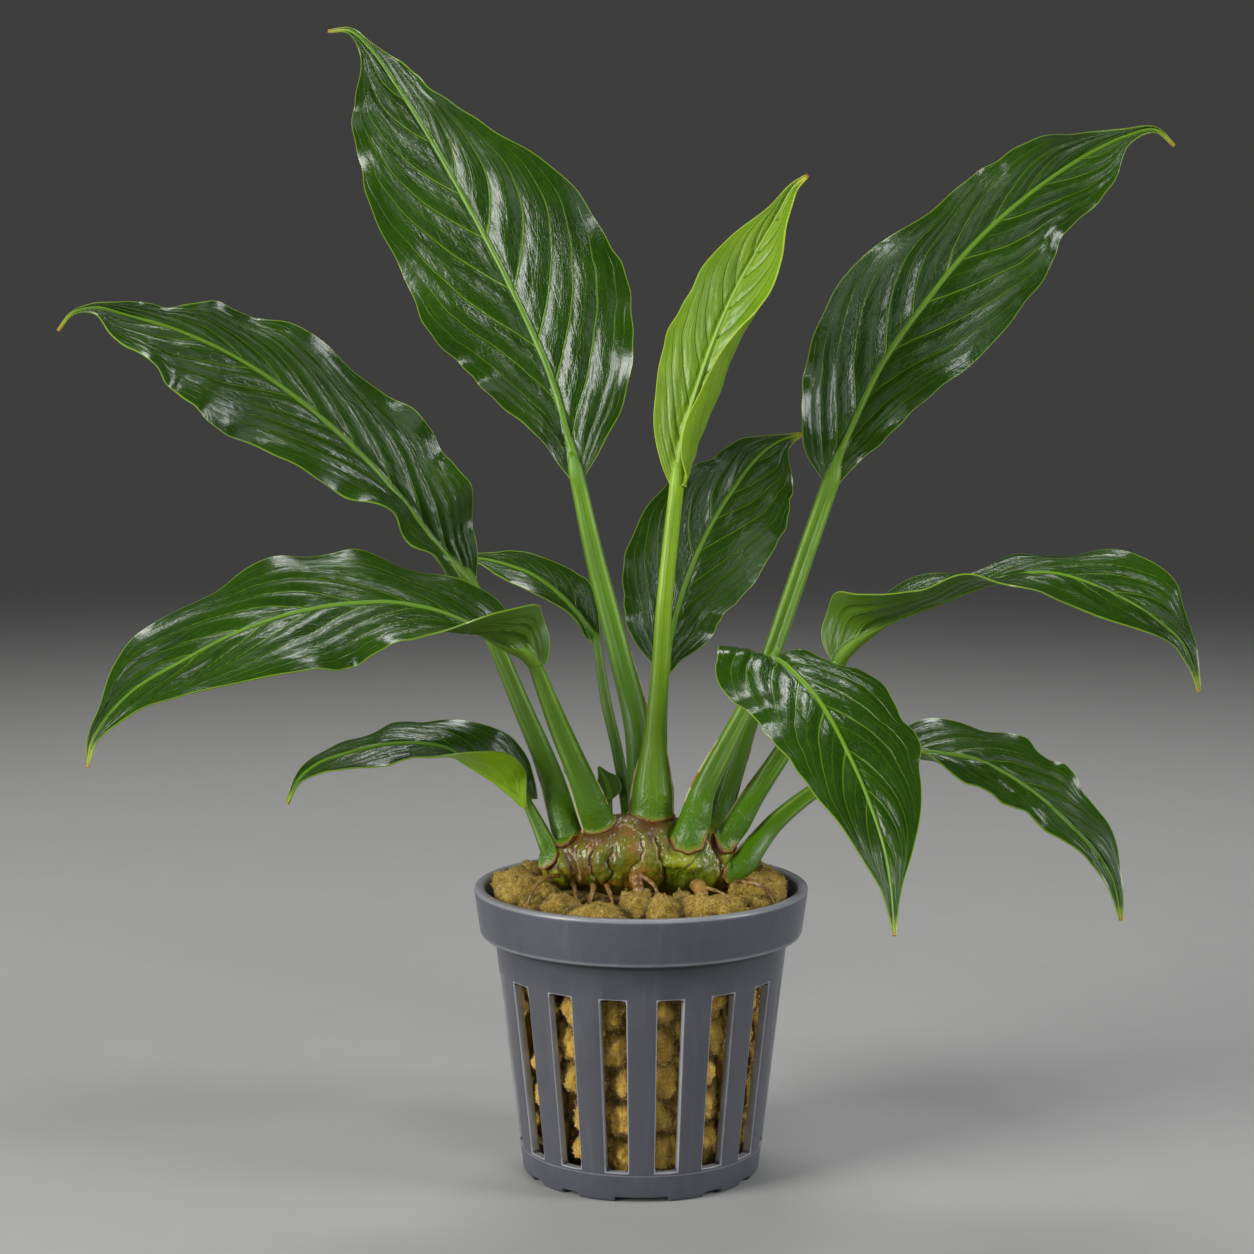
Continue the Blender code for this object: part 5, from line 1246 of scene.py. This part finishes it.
def rootTree(material):
    # Tubes along wandering curves, with their wrinkles
    tree = Growth("root_tubes", root)
    given = tree.given
    place = tree.add("GeometryNodeInputPosition")

    def random(scale, detail, output):
        values = {"Vector": place, "W": given["Seed"], "Scale": scale, "Detail": detail}
        return tree.add("ShaderNodeTexNoise", values, {"noise_dimensions": "4D"}, output)

    curve = tree.add("GeometryNodeMeshToCurve", {"Mesh": given["Geometry"]})
    even = tree.add("GeometryNodeResampleCurve", {"Curve": curve, "Count": given["Points"]})
    middle = {0: random(260.0, 1.0, 1), 1: (0.5, 0.5, 0.5)}
    centred = tree.add("ShaderNodeVectorMath", middle, {"operation": "SUBTRACT"})
    offset = tree.add("ShaderNodeVectorMath", {0: centred, "Scale": given["Wander"]}, {"operation": "SCALE"})
    moved = tree.add("GeometryNodeSetPosition", {"Geometry": even, "Offset": offset})
    thick = tree.add("GeometryNodeInputNamedAttribute", {"Name": "thick"})
    size = thick * ((random(1400.0, 2.0, 0) - 0.5) * given["Wrinkles"] + 1.0)
    circle = tree.add("GeometryNodeCurvePrimitiveCircle", {"Resolution": given["Sides"], "Radius": 1.0})
    values = {"Curve": moved, "Profile Curve": circle, "Scale": size, "Fill Caps": True}
    smooth = tree.add("GeometryNodeSetShadeSmooth", {0: tree.add("GeometryNodeCurveToMesh", values)})
    tree.end(tree.add("GeometryNodeRealizeInstances", {0: smooth}), material)
    return tree


def makeRoots(finish):
    tree = rootTree(finish)
    for index, (name, table) in enumerate(rootTables.items()):
        points = []
        edges = []
        thick = []
        for line in [table] + rootStrands.get(name, []):
            rows = smoothRows(line, 24)
            edges += [(len(points) + k, len(points) + k + 1) for k in range(len(rows) - 1)]
            points += rows[:, :3].tolist()
            thick += (rows[:, 3] * rootThinning.get(name, 1.0) * mm).tolist()
        guide = newShape("guide", points, [], edges)
        setNumbers(guide.data, {"thick": thick})
        piece = grow(guide, tree, {**root, "Seed": root["Seed"] + index}, name + "_strands")
        outwardFaces(piece.data)
        settle(piece, "root", name)
    print("roots:", len(rootTables))


def rootFinish():
    finish = Finish("root_skin", {"Coat Weight": 0.35, "Coat Roughness": 0.2})
    broad = finish.noise(240, 3)
    fine = finish.noise(1600, 3, 0.6)
    x, y, z = finish.split(finish.place)
    near = finish.length(finish.join(x - 0.009, (y + 0.0125) * 0.45, (z - 0.0468) * 0.6))
    finish.paint(
        rootLook, "brown", (broad.step(0.38, 0.62), "tan"), (fine.step(0.5, 0.7) * 0.7, "pale"),
        (near.step(0.0024, 0.001) * 0.7, "heart"),
    )
    finish.feed("Roughness", fine * 0.3 + 0.22)
    finish.bump(fine * 0.12 + broad * 0.1)
    return finish.material


# Pot

pot = {
    "rimRadius": 26.0, "rimHeight": 45.2, "lipWidth": 1.5, "bandHeight": 38.0, "bandRadius": 25.1,
    "neckRadius": 22.8, "neckHeight": 37.0, "footRadius": 18.5, "wall": 1.3, "floor": 1.6,
    "slots": 16, "slotAngle": 10.4, "slotBottom": 4.8, "slotTop": 32.1, "slotCorner": 0.7, "cornerSteps": 5,
    "bodyRows": (14, 23), "slotRadius": 20.5, "footLine": 4.2, "notchHeight": 0.8, "pad": 9.0, "fuse": 0.01,
    "drains": 8, "drainWidth": 3.0, "notches": ((0, 8.0), (180, 8.0), (36, 3.0), (60, 3.0), (100, 3.0), (140, 3.0)),
    "edgeRounding": 0.18, "roundedFrom": 42, "sharpFrom": 50,
}
potLook = {
    "dark": (0.052, 0.055, 0.067), "light": (0.088, 0.092, 0.11), "streak": (0.15, 0.155, 0.175),
    "speck": (0.3, 0.3, 0.31), "foot": (0.085, 0.088, 0.1), "bandUndersideShade": (0.012, 0.012, 0.015),
    "shade": (0.02, 0.021, 0.026), "lip": (0.36, 0.37, 0.39), "edgeHighlight": (0.38, 0.39, 0.41),
}


def bodyRadius(height):
    # Outer radius of the pot's tapered body
    share = height / pot["neckHeight"]
    return pot["footRadius"] + (pot["neckRadius"] - pot["footRadius"]) * share


def potProfile():
    # Radius and height up the outside, over the lip and down the inside
    wall, line, low, high = pot["wall"], pot["footLine"], pot["slotBottom"], pot["slotTop"]
    lowRow, highRow = low + pot["slotCorner"], high - pot["slotCorner"]
    foot, neck, band, lip = pot["footRadius"], pot["neckRadius"], pot["bandRadius"], pot["rimRadius"]
    neckAt, bandAt, top = pot["neckHeight"], pot["bandHeight"], pot["rimHeight"]
    inLip = lip - pot["lipWidth"]
    lowBody, highBody = pot["bodyRows"]
    body = [
        (0.6, 0), (line - 0.25, 0), (line - 0.1, -0.0384), (line + 0.1, 0.1084), (low, 0.12), (lowRow, 0.1),
        (lowBody, 0.06), (highBody, 0.03), (highRow, 0), (high, 0), (35.6, 0),
    ]
    outer = [(foot - 0.7, 0), (foot - 0.25, 0.12)]
    outer += [(bodyRadius(height) + extra, height) for height, extra in body]
    outer += [
        (neck - 0.05, neckAt - 0.1), (neck + 0.25, neckAt + 0.45), (band - 0.35, bandAt - 0.25),
        (band - 0.08, bandAt - 0.05), (band + 0.02, bandAt + 0.3), (lip - 0.42, top - 3.6),
        (lip - 0.04, top - 0.9), (lip, top - 0.5), (lip - 0.08, top - 0.2), (lip - 0.3, top - 0.04),
        (lip - 0.6, top), (inLip + 0.35, top), (inLip + 0.08, top - 0.1),
    ]
    inner = [
        (inLip - 0.12, top - 0.45), (band - wall + 0.15, bandAt + 3.5), (band - wall, bandAt + 1.5),
        (neck - wall + 0.2, neckAt + 0.2), (neck - wall, neckAt - 0.5),
    ]
    inner += [(bodyRadius(height) - wall, height) for height in (high, highRow, highBody, lowBody, lowRow, low)]
    floor = pot["floor"]
    inner += [(bodyRadius(2.4) - wall - 0.05, 2.4), (bodyRadius(floor) - wall - 0.6, floor), (9, floor)]
    return outer, inner


def potWedge():
    # One slot and half a post on each side of it
    outer, inner = potProfile()
    rings = outer + inner
    half = pot["slotAngle"] / 2
    post = 180 / pot["slots"]
    low, high, corner = pot["slotBottom"], pot["slotTop"], pot["slotCorner"]
    angles = [-post, -post + 3.0, -half, -half + math.degrees(corner / pot["slotRadius"])]
    angles += [-value for value in angles[::-1]]
    heights = [height for radius, height in rings]
    levels = (low, low + corner, *pot["bodyRows"], high - corner, high)
    outside = [heights.index(level) for level in levels]
    inside = [heights.index(level, len(outer)) for level in levels]
    work = bmesh.new()

    def spot(angle, radius, height):
        turn = math.radians(angle - 90)
        return work.verts.new(Vector((radius * math.cos(turn), radius * math.sin(turn), height)) * mm)

    grid = [[spot(angle, radius, height) for angle in angles] for radius, height in rings]
    for ring in range(len(rings) - 1):
        inOpen = outside[0] <= ring < outside[-1] or inside[-1] <= ring < inside[0]
        one, two = grid[ring], grid[ring + 1]
        for column in range(len(angles) - 1):
            if not (inOpen and 2 <= column < 5):
                work.faces.new((one[column], one[column + 1], two[column + 1], two[column]))

    # The slot's edge on the outer and the inner face, with a fan in each rounded corner
    loops = []
    for rows in (outside, inside):
        loop = []
        for right, top in ((True, False), (True, True), (False, True), (False, False)):
            end, beside = (rows[-1], rows[-2]) if top else (rows[0], rows[1])
            tipAt, levelAt = (grid[end][column] for column in ((5, 4) if right else (2, 3)))
            sideAt = grid[beside][5 if right else 2]
            arc = [sideAt]
            for step in range(1, pot["cornerSteps"]):
                turn = math.pi / 2 * step / pot["cornerSteps"]
                across = (levelAt.co - tipAt.co) * (1 - math.cos(turn))
                along = (tipAt.co - sideAt.co) * math.sin(turn)
                arc.append(work.verts.new(sideAt.co + across + along))
            arc.append(levelAt)
            for one, two in zip(arc, arc[1:]):
                work.faces.new((tipAt, one, two))
            loop += arc if right == top else arc[::-1]
            if right != top:
                upright = [grid[row][5 if right else 2] for row in rows[2:-2]]
                loop += upright if right else upright[::-1]
        loops.append(loop)
    ahead = [loop[1:] + loop[:1] for loop in loops]
    for one, two, three, four in zip(loops[0], ahead[0], ahead[1], loops[1]):
        work.faces.new((one, two, three, four))
    middle = work.verts.new((0, 0, 0))
    middleTop = work.verts.new((0, 0, pot["floor"] * mm))
    for column in range(len(angles) - 1):
        work.faces.new((middle, grid[0][column + 1], grid[0][column]))
        work.faces.new((middleTop, grid[-1][column], grid[-1][column + 1]))
    return shapeFrom("wedge", work)


def repeatTree(material, inputs):
    # Copies of a wedge around the pot's axis, fused where they meet
    tree = Growth("slots_around", inputs)
    given = tree.given
    spots = tree.add("GeometryNodeMeshLine", {"Count": given["Count"], "Offset": (0, 0, 0)})
    pitch = tau / given["Count"]
    turn = pitch * 0.5 + tree.add("GeometryNodeInputIndex") * pitch
    values = {"Points": spots, "Instance": given["Geometry"], "Rotation": tree.join(0.0, 0.0, turn)}
    whole = tree.add("GeometryNodeRealizeInstances", {0: tree.add("GeometryNodeInstanceOnPoints", values)})
    tree.end(tree.add("GeometryNodeMergeByDistance", {0: whole, "Distance": given["Fuse"]}), material)
    return tree


def drainCutters():
    # Notches in the foot and slots in the floor, as boxes that point outward
    foot, cuts = pot["footRadius"], []
    for angle, width in pot["notches"]:
        for side in ((1,) if angle in (0, 180) else (1, -1)):
            cuts.append((side * angle, foot - 2.2, foot + 2, width, pot["notchHeight"]))
    for k in range(pot["drains"]):
        angle = 360 * (k + 0.5) / pot["drains"]
        cuts.append((angle, pot["pad"] + 1, foot - 3.5, pot["drainWidth"], pot["floor"] + 1))
    box = [(3, 2, 1, 0), (4, 5, 6, 7), (0, 1, 5, 4), (1, 2, 6, 5), (2, 3, 7, 6), (3, 0, 4, 7)]
    points = []
    faces = []
    for angle, near, far, width, high in cuts:
        turn = math.radians(angle - 90)
        out = Vector((math.cos(turn), math.sin(turn), 0))
        side = Vector((-math.sin(turn), math.cos(turn), 0)) * width / 2
        faces += [[len(points) + k for k in face] for face in box]
        for height in (-1, high):
            for reach, half in ((near, -1), (far, -1), (far, 1), (near, 1)):
                points.append(out * reach + side * half + Vector((0, 0, height)))
    return newShape("cutters", points, faces)


def makePot(finish):
    inputs = {"Count": pot["slots"], "Fuse": pot["fuse"] * mm}
    shell = grow(potWedge(), repeatTree(finish, inputs), inputs, "pot_shell")
    outwardFaces(shell.data)
    cutters = drainCutters()
    cut = shell.modifiers.new("Drain", "BOOLEAN")
    cut.operation = "DIFFERENCE"
    cut.solver = "EXACT"
    cut.object = cutters
    bevel = shell.modifiers.new("Edges", "BEVEL")
    bevel.width = pot["edgeRounding"] * mm
    bevel.segments = 2
    bevel.limit_method = "ANGLE"
    bevel.angle_limit = math.radians(pot["roundedFrom"])
    bevel.use_clamp_overlap = False
    piece = settled(shell, "pot")
    bpy.data.objects.remove(cutters, do_unlink=True)
    piece.data.materials.clear()
    piece.data.materials.append(finish)
    piece.data.shade_smooth()
    piece.data.set_sharp_from_angle(angle=math.radians(pot["sharpFrom"]))
    settle(piece, "pot", "net_pot")
    print("pot:", len(piece.data.polygons), "faces")


def potFinish():
    finish = Finish("pot_plastic", {"Specular IOR Level": 0.5})
    x, y, z = finish.split(finish.place)
    broad = finish.noise(45, 3)
    clouds = finish.noise(260, 4, 0.6)
    streaks = finish.stretched(600, 600, 60)
    specks = finish.noise(3200)

    # Thin light lines painted as highlights on the mould's edges: around the slots, under the band, on the foot
    slots, low, high = pot["slots"], pot["slotBottom"] * mm, pot["slotTop"] * mm
    turn = y.turnFrom(x) * (slots / tau)
    aside = 0.5 - (turn + 100.0).toNearest()
    acrossSlot = (aside - 0.5 * pot["slotAngle"] / (360 / slots)) * 0.0081
    outOfSlot = acrossSlot.most(abs(z - (low + high) / 2) - (high - low) / 2)
    edgeHighlight = outOfSlot.step(-0.0001, 0.0) * outOfSlot.step(0.00022, 0.0001)
    footEdge = z.step(0.00405, 0.0042) * z.step(0.0045, 0.0043)
    bandEdge = z.step(0.0378, 0.038) * z.step(0.0385, 0.0382)
    edges = edgeHighlight.most(footEdge * 0.6 + bandEdge * 0.5)
    underBand = z.step(0.0381, 0.0377)
    finish.paint(
        potLook, "dark",
        (broad * 0.6 + clouds * 0.4, "light"),
        (streaks.step(0.5, 0.8) * 0.2, "streak"),
        (specks.step(0.7, 0.78) * 0.25, "speck"),
        (z.step(0.004, 0.0) * 0.2, "foot"),
        # Painted shade: a near-black strip on the underside of the band
        (z.step(0.0366, 0.0371) * underBand * 0.85, "bandUndersideShade"),
        # Painted shadow: the neck darkens over about 5 mm below the band
        (z.step(0.0315, 0.0366) * underBand * 0.4, "shade"),
        # Painted highlight: a light line along the top of the rim's lip
        (z.step(0.0445, 0.0449) * 0.6, "lip"),
        # Painted highlight along the slot, band and foot edges
        (edges * (0.35 + clouds * 0.6), "edgeHighlight"),
    )
    finish.feed("Roughness", clouds * 0.14 + streaks * 0.08 + 0.2)
    finish.bump(specks * 0.012 + clouds * 0.03 + streaks * 0.015)
    return finish.material


# Mineral wool

wool = {
    "level": 46.0, "core": 42.2, "coreGap": 2.3, "voxel": 0.42, "rough": 0.95, "fine": 0.42, "seam": 0.25,
    "columnLump": (2.5, 3.3),  # half width and half height of a lump behind a slot
    "rings": ((19.0, 17), (13.2, 12), (7.4, 8), (1.0, 1)),  # radius and number of lumps on top
    "spacing": 4.2, "frontFrom": -10.5,  # lumps from the table stand alone in front of this
    "stemHalf": 15.5, "stemDepth": (-9.5, 5.5), "underStem": 43.0,  # lumps under the stem end lower
    "inRim": 23.4, "gap": 0.12,  # radius inside the band, and the gap to the pot's wall
    "fuzzFrom": 42.0, "slotShare": 0.36,  # where loose fibres stand: on top, and this near a slot's middle
    "topFibres": 3.2, "sideFibres": 5.4,  # per square millimetre
    "topLength": 0.52, "sideLength": 0.34, "fibreWidth": 0.036, "bits": 2, "seed": 8, "fibreSeed": 5,
}
# Below the rim the wool and fibre colours are painted lighter as light; the gap and hollow colours are painted
# shade
woolLook = {
    "brown": (0.34, 0.205, 0.014), "gold": (0.45, 0.295, 0.032), "straw": (0.7, 0.5, 0.12),
    "shade": (0.14, 0.085, 0.012), "side": (0.95, 0.56, 0.065), "speck": (0.84, 0.66, 0.27),
    "gapShadeTop": (0.06, 0.034, 0.004), "gapShadeSide": (0.15, 0.07, 0.005), "hollow": (0.045, 0.024, 0.003),
    "fibreDark": (0.4, 0.25, 0.03), "fibreLight": (0.52, 0.35, 0.06), "fibreSideLit": (0.92, 0.68, 0.28),
    "fibrePale": (0.64, 0.52, 0.26),
}
# Lumps that show in front: x, y, top, radius and how much wider than deep
frontLumps = [
    (-17.6, -7.4, 48, 4.6, 1.1), (-12, -14.6, 46.7, 3, 1.1), (-6.6, -17.2, 45.8, 3, 1.6),
    (-0.6, -15, 47.2, 2.9, 1), (3.4, -16.8, 46.6, 3, 1), (10.4, -15.8, 46.8, 3.4, 1.75),
    (18.2, -7.6, 48, 4.2, 1.1), (-19.4, -0.6, 47.8, 3.6, 1), (19.2, 1, 47.6, 3.6, 1),
    (17, -12.6, 45.6, 2.6, 1.2), (-16.6, -12.6, 45.8, 2.6, 1.1), (6.2, -12.4, 46.2, 2.2, 1),
    (-5, -13.4, 44.8, 2.2, 1.3),
]


def woolBalls():
    # Middle, half depth, half height and stretch in x of each lump
    random = np.random.default_rng(wool["seed"])
    balls = [(x, y, top - 0.8 * radius, radius, 0.8 * radius, stretch) for x, y, top, radius, stretch in frontLumps]
    for ring, count in wool["rings"]:
        for index in range(count):
            angle = tau * (index + 0.35 * random.random()) / count
            x = ring * math.cos(angle)
            y = ring * math.sin(angle)
            near = min(math.hypot(x - ball[0], y - ball[1]) for ball in balls)
            if y < wool["frontFrom"] or near < wool["spacing"]:
                continue
            radius = 3.1 + 0.9 * random.random()
            top = wool["level"] + 1.2 * random.random() + 1.2 * (abs(x) / 20) ** 2
            if abs(x) < wool["stemHalf"] and wool["stemDepth"][0] < y < wool["stemDepth"][1]:
                top = wool["underStem"]
            balls.append((x, y, top - radius, radius, radius, 1.0))
    wide, high = wool["columnLump"]
    for column in range(pot["slots"]):
        angle = tau * (column + 0.5) / pot["slots"] - math.pi / 2
        height = 6.6 + 1.6 * random.random()
        while height < 38:
            across = wide * (0.85 + 0.3 * random.random())
            ring = bodyRadius(height) - pot["wall"] - 0.3 - across * (1.0 + 0.16 * random.random())
            turn = angle + 0.035 * random.choice((-1, 1)) * (0.6 + random.random())
            balls.append((ring * math.cos(turn), ring * math.sin(turn), height, across, high, 1.0))
            if random.random() < 0.6:
                turn = 2 * angle - turn + 0.03 * (random.random() - 0.5)
                lift = height + 3.5 * (random.random() - 0.5)
                balls.append((ring * math.cos(turn), ring * math.sin(turn), lift, 0.65 * across, 0.75 * high, 1.0))
            height += high * (1.5 + 0.35 * random.random())
    return np.array(balls)


def woolLumps(balls):
    # The lumps and the core between them, fused into one skin
    work = bmesh.new()
    for x, y, z, wide, high, stretch in balls:
        for vert in bmesh.ops.create_icosphere(work, subdivisions=3, radius=mm)["verts"]:
            place = vert.co
            vert.co = Vector((place.x * wide * stretch + x * mm, place.y * wide + y * mm, place.z * high + z * mm))
    low, high = pot["floor"] + 0.4, wool["core"]
    inset = pot["wall"] + wool["coreGap"]
    size = {"radius1": (bodyRadius(low) - inset) * mm, "radius2": (bodyRadius(high) - inset - 0.8) * mm}
    core = bmesh.ops.create_cone(work, cap_ends=True, segments=64, depth=(high - low) * mm, **size)
    for vert in core["verts"]:
        vert.co.z += (high + low) / 2 * mm
    lumps = shapeFrom("lumps", work)
    fuse = lumps.modifiers.new("Fuse", "REMESH")
    fuse.mode = "VOXEL"
    fuse.voxel_size = wool["voxel"] * mm
    lumps.modifiers.new("Soften", "SMOOTH").iterations = 2
    return settled(lumps, "wool_plug")


def readVectors(rows, label):
    values = np.empty(len(rows) * 3, dtype=np.float32)
    rows.foreach_get(label, values)
    return values.reshape(-1, 3)


def drawnIn(points, mesh, most):
    # Moves points that lie too far out to within a radius, and puts them on the mesh
    ring = np.hypot(points[:, 0], points[:, 1])
    points[:, :2] *= np.minimum(1.0, most / np.maximum(ring, 0.01))[:, None]
    mesh.vertices.foreach_set("co", (points * mm).ravel())
    mesh.update()
    return ring


def makeWool(feltFinish, looseFinish):
    balls = woolBalls()
    piece = woolLumps(balls)
    mesh = piece.data
    points = readVectors(mesh.vertices, "co") / mm
    normals = readVectors(mesh.vertex_normals, "vector")

    # Each point belongs to its nearest lump, and the seams between lumps lie deep
    nearest = np.full(len(points), faraway)
    second = nearest.copy()
    owner = np.zeros(len(points), dtype=int)
    for index, (x, y, z, wide, high, stretch) in enumerate(balls):
        away = ((points[:, 0] - x) / stretch / wide) ** 2 + ((points[:, 1] - y) / wide) ** 2
        away = (np.sqrt(away + ((points[:, 2] - z) / high) ** 2) - 1) * wide
        closer = away < nearest
        second = np.where(closer, nearest, np.minimum(second, away))
        owner = np.where(closer, index, owner)
        nearest = np.where(closer, away, nearest)
    seam = np.exp(-(np.clip(second - nearest, 0, 9) / 0.75) ** 2)
    hollow = smoothStep(nearest, 0.35, 1.3)
    swell = wool["rough"] * noiseAt(points, 0.55, 2.0) + wool["fine"] * noiseAt(points, 1.7, 6.0)
    points = points + normals * (swell - wool["seam"] * seam)[:, None]

    # The plug stays inside the pot, and its fibres stand where it shows
    height = points[:, 2].copy()
    most = bodyRadius(height) - pot["wall"] - wool["gap"]
    most = np.where(height > pot["bandHeight"] + 1.6, wool["inRim"], most)
    most = np.where(height < pot["slotBottom"], most - 0.7, most)
    points[:, 2] = np.maximum(height, pot["floor"] + 0.1)
    ring = drawnIn(points, mesh, most)
    turn = np.arctan2(points[:, 1], points[:, 0]) * pot["slots"] / tau
    byTop = (height > wool["fuzzFrom"]) & (normals[:, 2] > -0.3) & (hollow < 0.5)
    bySlot = (np.abs(turn - np.floor(turn) - 0.5) < wool["slotShare"]) & (height > 4.5) & (height < 33)
    bySlot = bySlot & (ring > most - 4.0) & (hollow < 0.3)
    x, y, z = (points - balls[owner, :3]).T
    numbers = {"topFuzz": byTop, "sideFuzz": bySlot, "seam": np.maximum(seam, hollow), "hollow": hollow}
    setNumbers(mesh, {**numbers, "around": np.arctan2(y, x), "rise": z / balls[owner, 4]})
    mesh.materials.clear()
    mesh.materials.append(feltFinish)
    mesh.shade_smooth()
    settle(piece, "wool", "rock_wool")
    print("wool plug:", len(mesh.polygons), "faces")
    makeFibres(piece, looseFinish)


fibre = {"Density": 1e6, "Length": 0.0005, "Width": 0.00003, "Tilt": 1.0, "Seed": 5}


def fibreTree(material):
    # Short looped fibres scattered over a surface
    tree = Growth("fibres", fibre)
    given = tree.given
    mask = tree.add("GeometryNodeInputNamedAttribute", {"Name": "fuzz"})
    chosen = tree.add("FunctionNodeCompare", {0: mask, 1: 0.5}, {"operation": "GREATER_THAN"})
    values = {"Mesh": given["Geometry"], "Selection": chosen, "Density": given["Density"], "Seed": given["Seed"]}
    spots = addNode(tree.tree, "GeometryNodeDistributePointsOnFaces", values).outputs
    spots = {socket.name: Wire(tree.tree, socket) for socket in spots}
    values = {0: (-1, -1, -3.1), 1: (1, 1, 3.1), "Seed": given["Seed"]}
    lean = tree.add("FunctionNodeRandomValue", values, {"data_type": "FLOAT_VECTOR"})
    values = {0: lean, 1: tree.join(given["Tilt"], given["Tilt"], 1.0)}
    leaning = tree.add("ShaderNodeVectorMath", values, {"operation": "MULTIPLY"})
    values = {0: spots["Rotation"], 1: leaning}
    turned = tree.add("FunctionNodeRotateRotation", values, {"rotation_space": "LOCAL"})
    values = {2: 0.45, 3: 1.3, "Seed": given["Seed"]}
    size = tree.add("FunctionNodeRandomValue", values, {"data_type": "FLOAT"}, output=1)
    values = {"Start": (0, 0, -0.1), "Start Handle": (0.0, 0.1, 0.75), "End Handle": (0.75, -0.1, 0.65)}
    values.update({"End": (0.7, 0.05, 0.05), "Resolution": 3})
    bend = tree.add("GeometryNodeCurvePrimitiveBezierSegment", values)
    circle = tree.add("GeometryNodeCurvePrimitiveCircle", {"Resolution": 3, "Radius": 1.0})
    values = {"Curve": bend, "Profile Curve": circle, "Scale": given["Width"] / given["Length"], "Fill Caps": True}
    values = {"Points": spots["Points"], "Instance": tree.add("GeometryNodeCurveToMesh", values)}
    values.update({"Rotation": turned, "Scale": size * given["Length"]})
    many = tree.add("GeometryNodeInstanceOnPoints", values)
    tree.end(tree.add("GeometryNodeRealizeInstances", {0: many}), material)
    return tree


def makeFibres(woolPlug, finish):
    tree = fibreTree(finish)
    for name in ("top", "side"):
        for part in range(wool["bits"]):
            mesh = woolPlug.data.copy()
            values = np.empty(len(mesh.vertices), dtype=np.float32)
            mesh.attributes[name + "Fuzz"].data.foreach_get("value", values)
            setNumbers(mesh, {"fuzz": values})
            sizes = {
                "Density": wool[name + "Fibres"] / wool["bits"] / mm ** 2, "Length": wool[name + "Length"] * mm,
                "Width": wool["fibreWidth"] * mm, "Seed": wool["fibreSeed"] + part,
            }
            piece = grow(newThing("guide", mesh), tree, {**fibre, **sizes}, f"wool_fibres_{name}_{part + 1}")

            # No fibre goes through the pot's wall, but it may show in a slot
            points = readVectors(piece.data.vertices, "co") / mm
            most = bodyRadius(points[:, 2]) - pot["wall"] + 0.25
            most = np.where(points[:, 2] > pot["bandHeight"] + 1.6, wool["inRim"] + 0.2, most)
            drawnIn(points, piece.data, most)
            settle(piece, "wool")
            print(piece.name + ":", sum(len(face.vertices) - 2 for face in piece.data.polygons), "triangles")


def woolFinish():
    sheen = {"Sheen Weight": 0.25, "Sheen Roughness": 0.5, "Sheen Tint": (0.9, 0.75, 0.4)}
    finish = Finish("wool_felt", {"Specular IOR Level": 0.25, **sheen})
    x, y, z = finish.split(finish.place)
    around, rise, seam, hollow = finish.own("around", "rise", "seam", "hollow")
    tangle = finish.noise(1250, 5, 0.72, 1.0)
    specks = finish.noise(3600, distortion=0.6)
    circle = finish.join(around.wave() * 6.0, (around + math.pi / 2).wave() * 6.0, rise * 2.2)
    combed = finish.noise(1.0, 3, 0.65, 1.6, at=circle)
    inSide = z.step(0.04, 0.032)
    finish.paint(
        woolLook, "brown",
        (finish.noise(190, 3).step(0.35, 0.65), "gold"),
        (combed.step(0.5, 0.66) * 0.5 + tangle.step(0.53, 0.68) * 0.6, "straw"),
        (combed.step(0.46, 0.3) * 0.5 + tangle.step(0.47, 0.33) * 0.7, "shade"),
        # Painted light: the wool below the rim, seen through the slots, is painted a much lighter gold
        (inSide * 0.65, "side"),
        (specks.step(0.56, 0.66) * 0.6, "speck"),
        # Painted shade: seams between lumps and the hollows behind them are painted dark
        (seam * 0.8, finish.mix(inSide, woolLook["gapShadeTop"], woolLook["gapShadeSide"])),
        (hollow * inSide * 0.9, "hollow"),
    )
    finish.feed("Roughness", tangle * 0.2 + 0.72 - hollow * 0.3)
    finish.bump(combed * 0.45 + tangle * 0.6 + specks * 0.16)
    return finish.material


def fibreFinish():
    finish = Finish("wool_fibre", {"Specular IOR Level": 0.5})
    x, y, z = finish.split(finish.place)
    each = finish.noise(1500, 1)
    finish.paint(
        woolLook, "fibreDark", (finish.noise(260).step(0.35, 0.65), "fibreLight"),
        # Painted light: fibres below the rim are painted lighter
        (z.step(0.04, 0.03) * 0.8, "fibreSideLit"), (each.step(0.5, 0.75) * 0.7, "fibrePale"),
    )
    finish.feed("Roughness", each * 0.2 + 0.35)
    return finish.material


# Everything

makeCamera()
makeLights()
makeFloor()
makePot(potFinish())
makeWool(woolFinish(), fibreFinish())
makeStem(stemFinish())
makeRoots(rootFinish())
makeStalks()
makeBlades()
